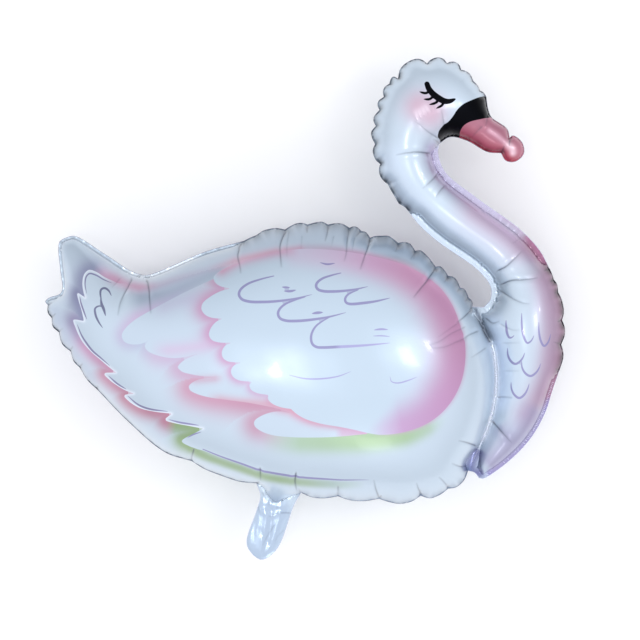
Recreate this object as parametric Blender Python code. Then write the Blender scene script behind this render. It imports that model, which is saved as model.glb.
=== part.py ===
"""Swan foil balloon, inflated and lying on its side.

Two printed foil sheets are heat sealed together round one outline, so the balloon is one closed
envelope. It has two air chambers, the body and the neck, which a narrow weld parts. A flat rim
runs round both, puckered into scallops where the outline is rounded, and a flat filler tail hangs
from the belly. The balloon lies on one side, with the seam level: +X is the way the swan faces,
+Y is up the swan, and +Z is up from the floor. The origin is under the middle, on the floor.
"""

import math

import bmesh
import bpy
import numpy as np
from mathutils import Vector
from mathutils.geometry import delaunay_2d_cdt

# Driving sizes, in metres
LENGTH = 0.830              # tail tip to breast
BODY_DEPTH = 0.285          # through the body where it is fattest, before it settles
REST_SETTLE = 0.003         # how far the underside flattens where it lies on the floor
SMOOTH_RIM = 0.010          # sealed rim where the edge is smooth
PUCKERED_RIM = 0.004        # sealed rim where the edge is scalloped and turns over
RIM_THICKNESS = 0.0016      # both foils and the seal, thickened enough to be a solid
WELD_WIDTH = 0.0045         # weld between breast and neck
FILLER_THICKNESS = 0.0040   # filler tail, which holds the valve film

# Mesh sizes, in metres: the rings run inside the seam, where the foil curves most
EDGE_STEP = 0.0064
RINGS = ((0.002, 0.0065), (0.007, 0.0090), (0.016, 0.0130), (0.030, 0.0180))  # depth, spacing
FILL_SPACING = 0.025
CURVE_STEPS = 16            # straight pieces in each span of a smooth curve
INSIDE_ONLY = 1             # the triangulation's output type that leaves out the hull
SAME_POINT = 1e-7           # points nearer than this are one
ON_SEAM = 1e-5              # points nearer to a seam than this lie on it
CLEAR_SHARE = 0.93          # share of its offset that a moved point keeps from the old line
CROWDED_SHARE = 0.75        # share of the spacing under which a further point is left out

# Puckers: a valley runs inwards from each cusp of the scalloped edge
VALLEY_DEPTH = 0.16         # share of the height taken away at the edge
VALLEY_LENGTH = 0.022
VALLEY_WIDTH = 0.006

# The outline is drawn on squared paper, with x to the right and y down the page. Each stretch
# starts where the one before it ends, and they run clockwise from the lower tail tip. A scalloped
# stretch gives each scallop's first cusp and how far it stands out, as a share of its chord.
SQUARES_LONG = 519.5
TAIL = [(48, 305), (45.5, 301.5), (49, 298), (60, 294), (62.5, 289), (60.5, 270), (58.6, 248),
        (60, 241.5), (68, 237.2), (75, 236.3), (105, 254.5), (132, 271.7), (146, 275.3),
        (158, 272), (204, 252.4), (244, 241)]
BACK = [(244, 241, 0.10), (284, 228.5, 0.13), (307, 224.5, 0.13), (328, 224, 0.15),
        (349, 227.5, 0.14), (370, 237.5, 0.15), (398, 242.5, 0.16), (414, 250, 0.15),
        (435.5, 266, 0.16), (448, 276, 0.17), (460, 288.5, 0.18), (467, 296.5, 0.10),
        (472, 307, 0)]
UPPER_WEB = [(472, 307), (483.5, 307.5)]
NAPE = [(483.5, 307.5), (490.3, 300), (491, 287), (478, 270), (438, 241.5), (420, 225.5),
        (408, 210.5)]
HEAD = [(408, 210.5, 0.12), (399, 203.5, 0.10), (388, 184, 0.22), (380, 164, 0.23),
        (375.3, 143.5, 0.21), (376, 126, 0.20), (379.7, 110, 0.22), (384, 97, 0.22),
        (388.7, 86, 0.24), (398, 79, 0.27), (427, 63, 0.27), (446.5, 63, 0.20), (461, 70, 0.24),
        (473.5, 83, 0.15), (480, 91, 0.12), (486, 96.5, 0)]
BILL_TOP = [(486, 96.5), (488.3, 110.5), (491.5, 117.5), (507, 129), (509.5, 138)]
BILL_NAIL = [(509.5, 138), (513, 135.6), (522, 142.5), (523.7, 153.5), (515.5, 161.4),
             (506, 160.7), (501, 153)]
BILL_UNDER = [(501, 153), (487.5, 151.8), (467, 140.6), (450, 136.9), (438.7, 144)]
THROAT = [(438.7, 144), (438, 154), (445, 172), (476, 197.5), (520, 229.5), (540, 251),
          (549.5, 269)]
BREAST = [(549.5, 269, 0.10), (553.5, 279, 0.14), (557.5, 291.5, 0.16), (562, 305, 0.16),
          (562, 321.5, 0.13), (561, 344.5, 0.12), (559, 371, 0)]
FOOT_OF_NECK = [(559, 371), (552.5, 390), (544.5, 414), (530, 439), (510, 460), (490, 475),
                (483, 478.6), (479, 477.8)]
LOWER_WEB = [(479, 477.8), (474.5, 472.5), (468, 470.5)]
BELLY = [(468, 470.5, 0.17), (448, 488.5, 0.16), (420.5, 495.5, 0.14), (379, 498.5, 0.07),
         (338, 496, 0.07), (301, 492.5, 0)]
FILLER = [(301, 492.5), (294, 505), (276.5, 549.5), (261, 559.5), (247, 545), (256.5, 511),
          (260.5, 496), (256.5, 483)]
UNDER_TAIL = [(256.5, 483, 0.06), (192, 461, 0)]
FLANK = [(192, 461), (165, 452), (128, 421), (97.5, 389.5)]
TAIL_EDGE = [(97.5, 389.5, 0.05), (80, 367.5, 0.12), (71, 351.5, 0.15), (59, 332, 0.16),
             (52, 318, 0.16), (48, 305, 0)]

# The weld's middle line, downwards. The last figure is the half width, in squares, that the flat
# web at each end adds to the weld's own.
WELD = [(478, 314, 2.5), (481, 322, 0.4), (485.5, 332, 0), (492, 345, 0), (495.3, 362, 0),
        (496.2, 382, 0), (494.6, 400, 0), (490.5, 418, 0), (485, 434, 0), (478.5, 449, 0.4),
        (474.5, 457, 3.2), (471, 464.5, 5.6)]
# Where the belly's seam dips into the filler tail, and the middle line of that tail
FILLER_ROOT = [(294, 494), (284, 499), (275, 501), (268, 494), (263, 486)]
FILLER_MIDDLE = [(280, 512), (261, 545)]

FOIL_COLOUR = (0.74, 0.81, 0.88, 1.0)
FOIL_ROUGHNESS = 0.28
FOIL_METALLIC = 0.35


def to_metres(points):
    """Points of the squared paper, in metres, with y up."""
    return np.array([(x, -y) for x, y in points]) * (LENGTH / SQUARES_LONG)


def spline(points):
    """A dense smooth curve through the points, with centripetal knots."""
    knots = np.sqrt(np.linalg.norm(np.diff(points, axis=0), axis=1))
    slopes = np.diff(points, axis=0) / knots[:, None]
    tangents = np.empty_like(points)
    tangents[0], tangents[-1] = slopes[0], slopes[-1]
    before, after = knots[:-1, None], knots[1:, None]
    tangents[1:-1] = (slopes[:-1] * after + slopes[1:] * before) / (before + after)
    t = np.linspace(0, 1, CURVE_STEPS, endpoint=False)[:, None]
    spans = [
        (1 + 2 * t) * (1 - t) ** 2 * points[i] + t * (1 - t) ** 2 * knots[i] * tangents[i]
        + t * t * (3 - 2 * t) * points[i + 1] + t * t * (t - 1) * knots[i] * tangents[i + 1]
        for i in range(len(knots))
    ]
    return np.vstack(spans + [points[-1:]])


def resampled(curve, step):
    """The curve with even steps of about this length, both ends kept."""
    lengths = np.concatenate([[0], np.cumsum(np.linalg.norm(np.diff(curve, axis=0), axis=1))])
    count = max(1, round(lengths[-1] / step))
    at = np.linspace(0, lengths[-1], count + 1)
    return np.column_stack([np.interp(at, lengths, curve[:, k]) for k in range(2)])


def left_of(directions):
    """Unit vectors turned a quarter turn to the left of these directions."""
    turned = np.column_stack([-directions[:, 1], directions[:, 0]])
    return turned / np.linalg.norm(turned, axis=1)[:, None]


def smooth_stretch(points):
    """(edge points, whether each is a cusp) of a smooth stretch, without its last point."""
    curve = resampled(spline(to_metres(points)), EDGE_STEP)
    return curve[:-1], np.zeros(len(curve) - 1, bool)


def scalloped_stretch(scallops):
    """(edge points, whether each is a cusp) of a row of scallops that bulge outwards."""
    corners = to_metres([(x, y) for x, y, _ in scallops])
    points, flags = [], []
    for start, end, (_, _, bulge) in zip(corners[:-1], corners[1:], scallops):
        chord = end - start
        length = float(np.linalg.norm(chord))
        count = 2 * max(1, round(length / EDGE_STEP / 2))
        t = np.arange(count)[:, None] / count
        points.append(start + t * chord + left_of(chord[None]) * 4 * bulge * length * t * (1 - t))
        flags.append(np.arange(count) == 0)
    return np.vstack(points), np.concatenate(flags)


def edge_normals(points, closed):
    """Unit normals pointing to the left of the way the points run."""
    if closed:
        along = np.roll(points, -1, axis=0) - np.roll(points, 1, axis=0)
    else:
        along = np.gradient(points, axis=0)
    return left_of(along)


def distance_to(points, chain):
    """Distance from each point to the nearest place on an open chain of points."""
    start, along = chain[:-1], np.diff(chain, axis=0)
    square = np.maximum((along ** 2).sum(axis=1), 1e-18)
    share = np.clip(((points[:, None] - start) * along).sum(axis=2) / square, 0, 1)
    nearest = start + share[..., None] * along
    return np.sqrt(((points[:, None] - nearest) ** 2).sum(axis=2).min(axis=1))


def inside(points, loop):
    """Whether each point lies inside a closed loop."""
    following = np.roll(loop, -1, axis=0)
    spans = (loop[:, 1] > points[:, 1, None]) != (following[:, 1] > points[:, 1, None])
    rise = np.where(following[:, 1] == loop[:, 1], 1e-12, following[:, 1] - loop[:, 1])
    crossing = loop[:, 0] + (points[:, 1, None] - loop[:, 1]) / rise * (following - loop)[:, 0]
    return ((spans & (points[:, 0, None] < crossing)).sum(axis=1) % 2) == 1


def ring_of(points):
    """The closed loop as an open chain that ends where it starts."""
    return np.vstack([points, points[:1]])


class Outline:
    """The foil's edge, as one clockwise loop, and the seam line of each chamber inside it."""

    def __init__(self):
        self.rows, self.rims = {}, {}
        points, cusps = [], []
        for name, rim, (stretch, flags) in (
            ("tail", SMOOTH_RIM, smooth_stretch(TAIL)),
            ("back", PUCKERED_RIM, scalloped_stretch(BACK)),
            ("upper_web", 0, smooth_stretch(UPPER_WEB)),
            ("nape", SMOOTH_RIM, smooth_stretch(NAPE)),
            ("head", PUCKERED_RIM, scalloped_stretch(HEAD)),
            ("bill_top", PUCKERED_RIM, smooth_stretch(BILL_TOP)),
            ("bill_nail", PUCKERED_RIM, smooth_stretch(BILL_NAIL)),
            ("bill_under", PUCKERED_RIM, smooth_stretch(BILL_UNDER)),
            ("throat", SMOOTH_RIM, smooth_stretch(THROAT)),
            ("breast", PUCKERED_RIM, scalloped_stretch(BREAST)),
            ("foot_of_neck", SMOOTH_RIM, smooth_stretch(FOOT_OF_NECK)),
            ("lower_web", 0, smooth_stretch(LOWER_WEB)),
            ("belly", PUCKERED_RIM, scalloped_stretch(BELLY)),
            ("filler", 0, smooth_stretch(FILLER)),
            ("under_tail", PUCKERED_RIM, scalloped_stretch(UNDER_TAIL)),
            ("flank", PUCKERED_RIM, smooth_stretch(FLANK)),
            ("tail_edge", PUCKERED_RIM, scalloped_stretch(TAIL_EDGE)),
        ):
            first = sum(len(part) for part in points)
            self.rows[name] = slice(first, first + len(stretch))
            self.rims[name] = rim
            points.append(stretch)
            cusps.append(flags)
        self.edge = np.vstack(points)
        self.is_cusp = np.concatenate(cusps)
        self.inward = -edge_normals(self.edge, closed=True)
        self.filler_root = resampled(spline(to_metres(FILLER_ROOT)), EDGE_STEP)

    def in_filler(self, points):
        """Whether each point is of the filler tail."""
        edge = self.edge[self.rows["filler"]]
        within = inside(points, np.vstack([edge, self.filler_root[::-1]]))
        return within | (distance_to(points, edge) < ON_SEAM)

    def seam(self, *names):
        """The seam line inside the named stretches, a rim's width in from the edge."""
        chain = ring_of(self.edge)
        found = []
        for name in names:
            rows, rim = self.rows[name], self.rims[name]
            moved = self.edge[rows] + rim * self.inward[rows]
            found.append(moved[distance_to(moved, chain) > CLEAR_SHARE * rim])
        return np.vstack(found)

    def weld_sides(self):
        """(body side, neck side) of the weld, both downwards."""
        squares = np.array(WELD)
        middle = to_metres(squares[:, :2])
        half = WELD_WIDTH / 2 + squares[:, 2] * LENGTH / SQUARES_LONG
        line = spline(np.column_stack([middle, half]))
        centre, width = line[:, :2], line[:, 2:]
        leftward = edge_normals(centre, closed=False)
        sides = centre - leftward * width, centre + leftward * width
        return [resampled(side, EDGE_STEP) for side in sides]

    def seam_loops(self):
        """The closed seam line of the body and that of the neck, both clockwise."""
        body_side, neck_side = self.weld_sides()
        body = [self.seam("tail", "back"), body_side, self.seam("belly"), self.filler_root,
                self.seam("under_tail", "flank", "tail_edge")]
        neck = [self.seam("nape", "head", "bill_top", "bill_nail", "bill_under", "throat",
                          "breast", "foot_of_neck"), neck_side[::-1]]
        return [cleaned(np.vstack(body)), cleaned(np.vstack(neck))]


def cleaned(loop):
    """The loop without points that crowd the one before them."""
    least = EDGE_STEP * (1 - CROWDED_SHARE)
    kept = [loop[0]]
    for point in loop[1:]:
        if np.linalg.norm(point - kept[-1]) > least:
            kept.append(point)
    if np.linalg.norm(kept[-1] - kept[0]) < least:
        kept.pop()
    return np.array(kept)


def spread(candidates, spacing, taken):
    """The candidates that keep their distance from each other and from those already taken."""
    kept = []
    for point in candidates:
        near = np.array(taken + kept) if taken or kept else np.empty((0, 2))
        if len(near) == 0 or ((near - point) ** 2).sum(axis=1).min() > spacing ** 2:
            kept.append(point)
    return kept


def chamber_points(loop):
    """Points inside a chamber: rings near the seam, where it curves most, then an even fill."""
    chain = ring_of(loop)
    inward = -edge_normals(loop, closed=True)
    taken = []
    for depth, spacing in RINGS:
        moved = loop + depth * inward
        moved = moved[inside(moved, loop)]
        moved = moved[distance_to(moved, chain) > CLEAR_SHARE * depth]
        taken += spread(moved, CROWDED_SHARE * spacing, taken)
    low, high = loop.min(axis=0), loop.max(axis=0)
    rows = np.arange(low[1], high[1], FILL_SPACING * math.sqrt(3) / 2)
    grid = [(x + (row % 2) * FILL_SPACING / 2, y) for row, y in enumerate(rows)
            for x in np.arange(low[0], high[0], FILL_SPACING)]
    grid = np.array(grid)
    grid = grid[inside(grid, loop)]
    grid = grid[distance_to(grid, chain) > RINGS[-1][0]]
    taken += spread(grid, CROWDED_SHARE * FILL_SPACING, taken)
    return np.array(taken)


def triangulated(loops, loose):
    """(points, triangles) of the foil inside the first loop, with edges along every loop."""
    points = np.vstack([*loops, loose])
    edges, first = [], 0
    for loop in loops:
        count = len(loop)
        edges += [(first + i, first + (i + 1) % count) for i in range(count)]
        first += count
    found = delaunay_2d_cdt([Vector(p) for p in points], edges, [], INSIDE_ONLY, SAME_POINT)
    return np.array([tuple(p) for p in found[0]]), np.array(found[2])


def swelling(points, triangles, still):
    """The membrane of unit load over the triangles, nought at the still points, by finite elements.

    Half its square root is the height of a round tube when the chamber is long and narrow.
    """
    count = len(points)
    stiffness, load = np.zeros((count, count)), np.zeros(count)
    for tri in triangles:
        corners = points[tri]
        opposite = np.roll(corners, -1, axis=0) - np.roll(corners, -2, axis=0)
        double_area = abs(opposite[0, 0] * opposite[1, 1] - opposite[0, 1] * opposite[1, 0])
        stiffness[np.ix_(tri, tri)] += opposite @ opposite.T / (2 * double_area)
        load[tri] += 4 * double_area / 6
    free = ~still
    result = np.zeros(count)
    result[free] = np.linalg.solve(stiffness[np.ix_(free, free)], load[free])
    return np.maximum(result, 0)


def heights(points, swell, outline):
    """Half the foil's thickness at each point: round near the seam, flatter over the body."""
    rise = np.sqrt(swell / 2)
    flattening = 1 / (BODY_DEPTH / 2) ** 2 - 1 / rise.max() ** 2
    rise = rise / np.sqrt(1 + rise ** 2 * flattening)
    cusps = outline.edge[outline.is_cusp]
    inward = outline.inward[outline.is_cusp]
    away = points[:, None] - cusps
    along = abs((away * inward).sum(axis=2))
    across = away[..., 0] * inward[:, 1] - away[..., 1] * inward[:, 0]
    groove = np.exp(-along / VALLEY_LENGTH - (across / VALLEY_WIDTH) ** 2)
    return rise * (1 - VALLEY_DEPTH * groove.max(axis=1))


def foil_material():
    """Pearl white print on metallised foil."""
    material = bpy.data.materials.new("printed_foil")
    material.use_nodes = True
    shader = material.node_tree.nodes["Principled BSDF"]
    shader.inputs["Base Color"].default_value = FOIL_COLOUR
    shader.inputs["Roughness"].default_value = FOIL_ROUGHNESS
    shader.inputs["Metallic"].default_value = FOIL_METALLIC
    return material


def closed_envelope(points, triangles, half, border):
    """A mesh with the sheet above, its mirror image below, and a wall round the foil's edge."""
    mesh = bmesh.new()
    upper = [mesh.verts.new((x, y, h)) for (x, y), h in zip(points, half)]
    lower = [mesh.verts.new((x, y, -h)) for (x, y), h in zip(points, half)]
    for a, b, c in triangles:
        mesh.faces.new((upper[a], upper[b], upper[c]))
        mesh.faces.new((lower[c], lower[b], lower[a]))
    for a, b in border:
        mesh.faces.new((upper[b], upper[a], lower[a]))
        mesh.faces.new((upper[b], lower[a], lower[b]))
    bmesh.ops.recalc_face_normals(mesh, faces=mesh.faces)
    return mesh


def border_edges(triangles):
    """The edges that only one triangle uses, in the order that it uses them."""
    ends = np.vstack([triangles[:, [0, 1]], triangles[:, [1, 2]], triangles[:, [2, 0]]])
    _, index, count = np.unique(np.sort(ends, axis=1), axis=0, return_inverse=True,
                                return_counts=True)
    return ends[count[index.reshape(-1)] == 1]


def laid_on_floor(mesh, seam_height):
    """Flattens the underside where it rests, and puts the origin on the floor under the middle."""
    for vertex in mesh.verts:
        vertex.co.z = max(vertex.co.z + seam_height, 0.0)
    places = np.array([vertex.co for vertex in mesh.verts])
    middle = (places.min(axis=0) + places.max(axis=0)) / 2
    bmesh.ops.translate(mesh, vec=(-middle[0], -middle[1], 0), verts=mesh.verts)


def swan_balloon():
    """The whole balloon, one closed solid."""
    outline = Outline()
    loops = outline.seam_loops()
    filler = resampled(to_metres(FILLER_MIDDLE), FILL_SPACING)
    loose = np.vstack([chamber_points(loop) for loop in loops] + [filler])
    points, triangles = triangulated([outline.edge, *loops], loose)
    chains = [ring_of(loop) for loop in loops]
    held = np.ones(len(points), bool)
    for loop, chain in zip(loops, chains):
        held &= ~(inside(points, loop) & (distance_to(points, chain) > ON_SEAM))
    rise = heights(points, swelling(points, triangles, held), outline)
    flat = np.full(len(points), RIM_THICKNESS / 2)
    flat[outline.in_filler(points) & held] = FILLER_THICKNESS / 2
    half = np.hypot(flat, rise)
    mesh = closed_envelope(points, triangles, half, border_edges(triangles))
    laid_on_floor(mesh, half.max() - REST_SETTLE)
    data = bpy.data.meshes.new("swan_balloon")
    mesh.to_mesh(data)
    mesh.free()
    data.materials.append(foil_material())
    data.shade_smooth()
    balloon = bpy.data.objects.new("swan_balloon", data)
    bpy.context.scene.collection.objects.link(balloon)
    return balloon


def clear_scene():
    """Removes what the scene starts with."""
    for item in list(bpy.data.objects):
        bpy.data.objects.remove(item)


clear_scene()
swan_balloon()
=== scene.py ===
"""Swan foil balloon, inflated and lying on its side: the printed foil's own surface.

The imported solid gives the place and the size. Two printed sheets are sealed together round one
outline, and the seam is level: +X is the way the swan faces, +Y is up the swan, and +Z is up from
the floor. Each sheet is one fine mesh, with its puckers and creases as real relief and its print
as attributes. The crimped seal and the cut edge of the foil are pieces of their own.
"""

import logging
import math
from dataclasses import dataclass, field
from enum import Enum

import bpy
import numpy as np
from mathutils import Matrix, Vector
from mathutils.bvhtree import BVHTree
from mathutils.geometry import delaunay_2d_cdt
from mathutils.kdtree import KDTree


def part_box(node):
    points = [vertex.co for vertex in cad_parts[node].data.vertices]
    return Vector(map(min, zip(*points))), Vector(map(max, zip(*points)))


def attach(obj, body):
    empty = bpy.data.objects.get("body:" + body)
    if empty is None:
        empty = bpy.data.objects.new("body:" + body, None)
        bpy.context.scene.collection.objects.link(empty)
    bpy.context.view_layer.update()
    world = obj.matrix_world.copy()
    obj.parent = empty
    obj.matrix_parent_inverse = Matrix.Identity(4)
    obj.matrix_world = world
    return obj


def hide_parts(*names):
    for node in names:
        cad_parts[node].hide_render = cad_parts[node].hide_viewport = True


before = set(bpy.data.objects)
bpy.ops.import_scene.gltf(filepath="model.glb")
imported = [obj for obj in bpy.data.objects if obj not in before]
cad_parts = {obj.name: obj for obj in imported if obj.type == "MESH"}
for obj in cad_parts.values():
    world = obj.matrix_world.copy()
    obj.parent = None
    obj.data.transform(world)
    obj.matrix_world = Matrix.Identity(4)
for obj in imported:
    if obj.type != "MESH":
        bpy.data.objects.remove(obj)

Array = np.ndarray
Points = list[tuple[float, float]]
Runs = list[Points]
Colour = tuple[float, float, float]
Piece = bpy.types.Object
Node = bpy.types.Node
Socket = bpy.types.NodeSocket
Named = dict[str, object]
Feeds = dict[int | str, object]

NODE = "swan_balloon"
BODY = "root"
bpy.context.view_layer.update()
LOG = logging.getLogger("swan_balloon")

# Camera: straight above the seam, and far enough for the picture to cover the whole paper
PICTURE_SQUARES = 640.0
LENS_MM = 100.0
SENSOR_MM = 36.0

# Sizes of the foil, in metres
REST_SETTLE = 0.003
SMOOTH_RIM = 0.010
NARROW_RIM = 0.0045
FOOT_RIM = 0.0070
RIM_TAPER = 0.018
PUCKERED_RIM = 0.0016
RIM_HALF = 0.0003
WELD_WIDTH = 0.0052

# Mesh sizes, in metres
EDGE_STEP = 0.0019
DRAWN_STEP = 0.0015
RING_DEPTHS = (0.0007, 0.0018, 0.0034, 0.0055, 0.0080)
FILL_SPACING = 0.0024
FACE_SPACING = 0.0014
CELL = 0.0024
SAME_POINT = 1e-7
ON_SEAM = 1e-5

# How finely curves are drawn, which points of a moved line are kept, and what is triangulated
CURVE_STEPS = 12
CLEAR_SHARE = 0.93
CROWDED_SHARE = 0.25
INSIDE_ONLY = 1


class Paper:
    """The squared paper that the swan is drawn on, laid over the frame's box.

    x runs to the right and y down the page, one square a picture element. The drawing touches the
    box with its outermost points, so its first and last columns and its top row place it.
    """

    LEFT, TOP, RIGHT = 45.534, 57.735, 564.640
    SIGHT_PASSES = 3
    ABOVE = 1.0

    def __init__(self) -> None:
        """Reads the scale, the seam's height and the solid's upper surface from the frame."""
        low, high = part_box(NODE)
        self.low, self.high = low, high
        self.square = (high.x - low.x) / (self.RIGHT - self.LEFT)
        self.half_depth = (high.z + REST_SETTLE) / 2
        self.seam_height = self.half_depth - REST_SETTLE
        self.view_distance = PICTURE_SQUARES * self.square * LENS_MM / SENSOR_MM
        middle = PICTURE_SQUARES / 2
        self.view_centre = self.flat([(middle, middle)])[0]
        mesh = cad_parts[NODE].data
        corners = [vertex.co for vertex in mesh.vertices]
        self.solid = BVHTree.FromPolygons(corners, [tuple(p.vertices) for p in mesh.polygons])

    def flat(self, points: Points | Array) -> Array:
        """Places points of the drawing in the seam's plane.

        Args:
            points: x and y in squares.

        Returns:
            x and y in metres, in the frame.
        """
        squares = np.asarray(points, float)[:, :2]
        return np.column_stack([
            self.low.x + (squares[:, 0] - self.LEFT) * self.square,
            self.high.y - (squares[:, 1] - self.TOP) * self.square,
        ])

    def rise(self, place: Array) -> float:
        """Height of the solid's upper surface over the seam at one place."""
        hit = self.solid.ray_cast(Vector((*place, self.ABOVE)), Vector((0, 0, -1)))
        return max(0.0, hit[0].z - self.seam_height) if hit[0] else 0.0

    def raised(self, line: Array) -> Array:
        """Moves a line from where the camera sees it to where it lies on the swollen foil.

        Args:
            line: x and y in metres, as seen against the seam's plane.

        Returns:
            x and y in metres of the places on the upper surface that are seen there.
        """
        lying = line.copy()
        for _ in range(self.SIGHT_PASSES):
            rises = np.array([self.rise(place) for place in lying])
            share = 1 - rises[:, None] / self.view_distance
            lying = self.view_centre + (line - self.view_centre) * share
        return lying


def spline(points: Array) -> Array:
    """Draws a dense smooth curve through points, with centripetal knots.

    Args:
        points: the places that it passes, one a row.

    Returns:
        the curve's points, both ends kept.
    """
    if len(points) == 2:
        return points
    knots = np.sqrt(np.linalg.norm(np.diff(points, axis=0), axis=1))
    slopes = np.diff(points, axis=0) / knots[:, None]
    tangents = np.empty_like(points)
    tangents[0], tangents[-1] = slopes[0], slopes[-1]
    before, after = knots[:-1, None], knots[1:, None]
    tangents[1:-1] = (slopes[:-1] * after + slopes[1:] * before) / (before + after)
    t = np.linspace(0, 1, CURVE_STEPS, endpoint=False)[:, None]
    spans = [
        (1 + 2 * t) * (1 - t) ** 2 * points[i] + t * (1 - t) ** 2 * knots[i] * tangents[i]
        + t * t * (3 - 2 * t) * points[i + 1] + t * t * (t - 1) * knots[i] * tangents[i + 1]
        for i in range(len(knots))
    ]
    return np.vstack(spans + [points[-1:]])


def travelled(line: Array) -> Array:
    """How far along a line each of its points is, in metres."""
    return np.concatenate([[0], np.cumsum(np.linalg.norm(np.diff(line, axis=0), axis=1))])


def closed(loop: Array) -> Array:
    """A loop's points, with the first again at the end."""
    return np.vstack([loop, loop[:1]])


def resampled(line: Array, step: float) -> Array:
    """Spaces a line's points evenly.

    Args:
        line: the points of an open line.
        step: about how far apart the new points are.

    Returns:
        the new points, both ends kept.
    """
    lengths = travelled(line)
    count = max(1, round(lengths[-1] / step))
    at = np.linspace(0, lengths[-1], count + 1)
    return np.column_stack([np.interp(at, lengths, line[:, k]) for k in range(line.shape[1])])


def left_of(directions: Array) -> Array:
    """Unit vectors a quarter turn to the left of these directions."""
    turned = np.column_stack([-directions[:, 1], directions[:, 0]])
    return turned / np.maximum(np.linalg.norm(turned, axis=1), 1e-12)[:, None]


def line_normals(points: Array, is_loop: bool) -> Array:
    """Finds unit normals to the left of the way a line runs.

    Args:
        points: the line's points.
        is_loop: whether its ends meet.

    Returns:
        one normal for each point.
    """
    if is_loop:
        return left_of(np.roll(points, -1, axis=0) - np.roll(points, 1, axis=0))
    return left_of(np.gradient(points, axis=0))


def inside(points: Array, loop: Array) -> Array:
    """Tests which points lie inside a closed loop, one edge of the loop at a time.

    Args:
        points: the points to test.
        loop: the loop's corners, in order.

    Returns:
        True for each point inside.
    """
    order = np.argsort(points[:, 1])
    columns, rows = points[order, 0], points[order, 1]
    crossed = np.zeros(len(points), bool)
    for (x0, y0), (x1, y1) in zip(loop, np.roll(loop, -1, axis=0)):
        first, last = np.searchsorted(rows, sorted((y0, y1)))
        if last > first:
            span = slice(first, last)
            crossed[span] ^= columns[span] < x0 + (rows[span] - y0) * (x1 - x0) / (y1 - y0)
    result = np.empty(len(points), bool)
    result[order] = crossed
    return result


def linear(colour: Colour) -> Array:
    """The linear values of a colour given in 0 to 255 as a screen shows it."""
    shown = np.array(colour, float) / 255
    return np.where(shown <= 0.04045, shown / 12.92, ((shown + 0.055) / 1.055) ** 2.4)


def waves(along: Array, length: float, seed: int, count: int = 5) -> Array:
    """Sums sines of nearby lengths, for an uneven ripple that repeats each run.

    Args:
        along: the places to read it at, in metres.
        length: the ripples' mean length, in metres.
        seed: chooses the phases.
        count: how many sines are summed.

    Returns:
        values that lie mostly between -1 and 1.
    """
    chance = np.random.default_rng(seed)
    rates = 2 * math.pi / (length * chance.uniform(0.6, 1.6, count))
    phases = chance.uniform(0, 2 * math.pi, count)
    return np.sin(along[:, None] * rates + phases).sum(axis=1) / math.sqrt(count)


class Trace:
    """A line on the foil that tells how near it a point is, and how far along."""

    def __init__(self, line: Array) -> None:
        """Sorts the line's points into a tree.

        Args:
            line: the line's points, in metres.
        """
        self.line = resampled(line, DRAWN_STEP)
        self.travelled = travelled(self.line)
        self.length = float(self.travelled[-1])
        self.tree = KDTree(len(self.line))
        for index, (x, y) in enumerate(self.line.tolist()):
            self.tree.insert((x, y, 0), index)
        self.tree.balance()

    def nearest(self, points: Array, reach: float) -> tuple[Array, Array]:
        """Measures from points to the line.

        Args:
            points: x and y of each point, in metres.
            reach: the farthest distance that matters.

        Returns:
            the distance to the line, no more than the reach, and how far along the line its
            nearest place is, in metres.
        """
        low, high = self.line.min(axis=0) - reach, self.line.max(axis=0) + reach
        near = ((points > low) & (points < high)).all(axis=1)
        distance, place = np.full(len(points), reach), np.zeros(len(points))
        chosen = points[near]
        if len(chosen) == 0:
            return distance, place
        index = np.array([self.tree.find((x, y, 0))[1] for x, y in chosen.tolist()])
        best, spot = np.full(len(chosen), np.inf), np.zeros(len(chosen))
        for first in (index - 1, index):
            first = np.clip(first, 0, len(self.line) - 2)
            start = self.line[first]
            along = self.line[first + 1] - start
            square = np.maximum((along ** 2).sum(axis=1), 1e-18)
            share = np.clip(((chosen - start) * along).sum(axis=1) / square, 0, 1)
            gap = np.linalg.norm(chosen - start - share[:, None] * along, axis=1)
            here = self.travelled[first] + share * np.sqrt(square)
            closer = gap < best
            best, spot = np.where(closer, gap, best), np.where(closer, here, spot)
        distance[near] = np.minimum(best, reach)
        place[near] = spot
        return distance, place


@dataclass(frozen=True)
class Stretch:
    """One stretch of the foil's edge: smooth runs that meet in cusps, and its sealed rim.

    Each run starts where the one before it ends, so its own first point isn't given.
    """

    name: str
    runs: Runs
    rim: float = PUCKERED_RIM


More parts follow.
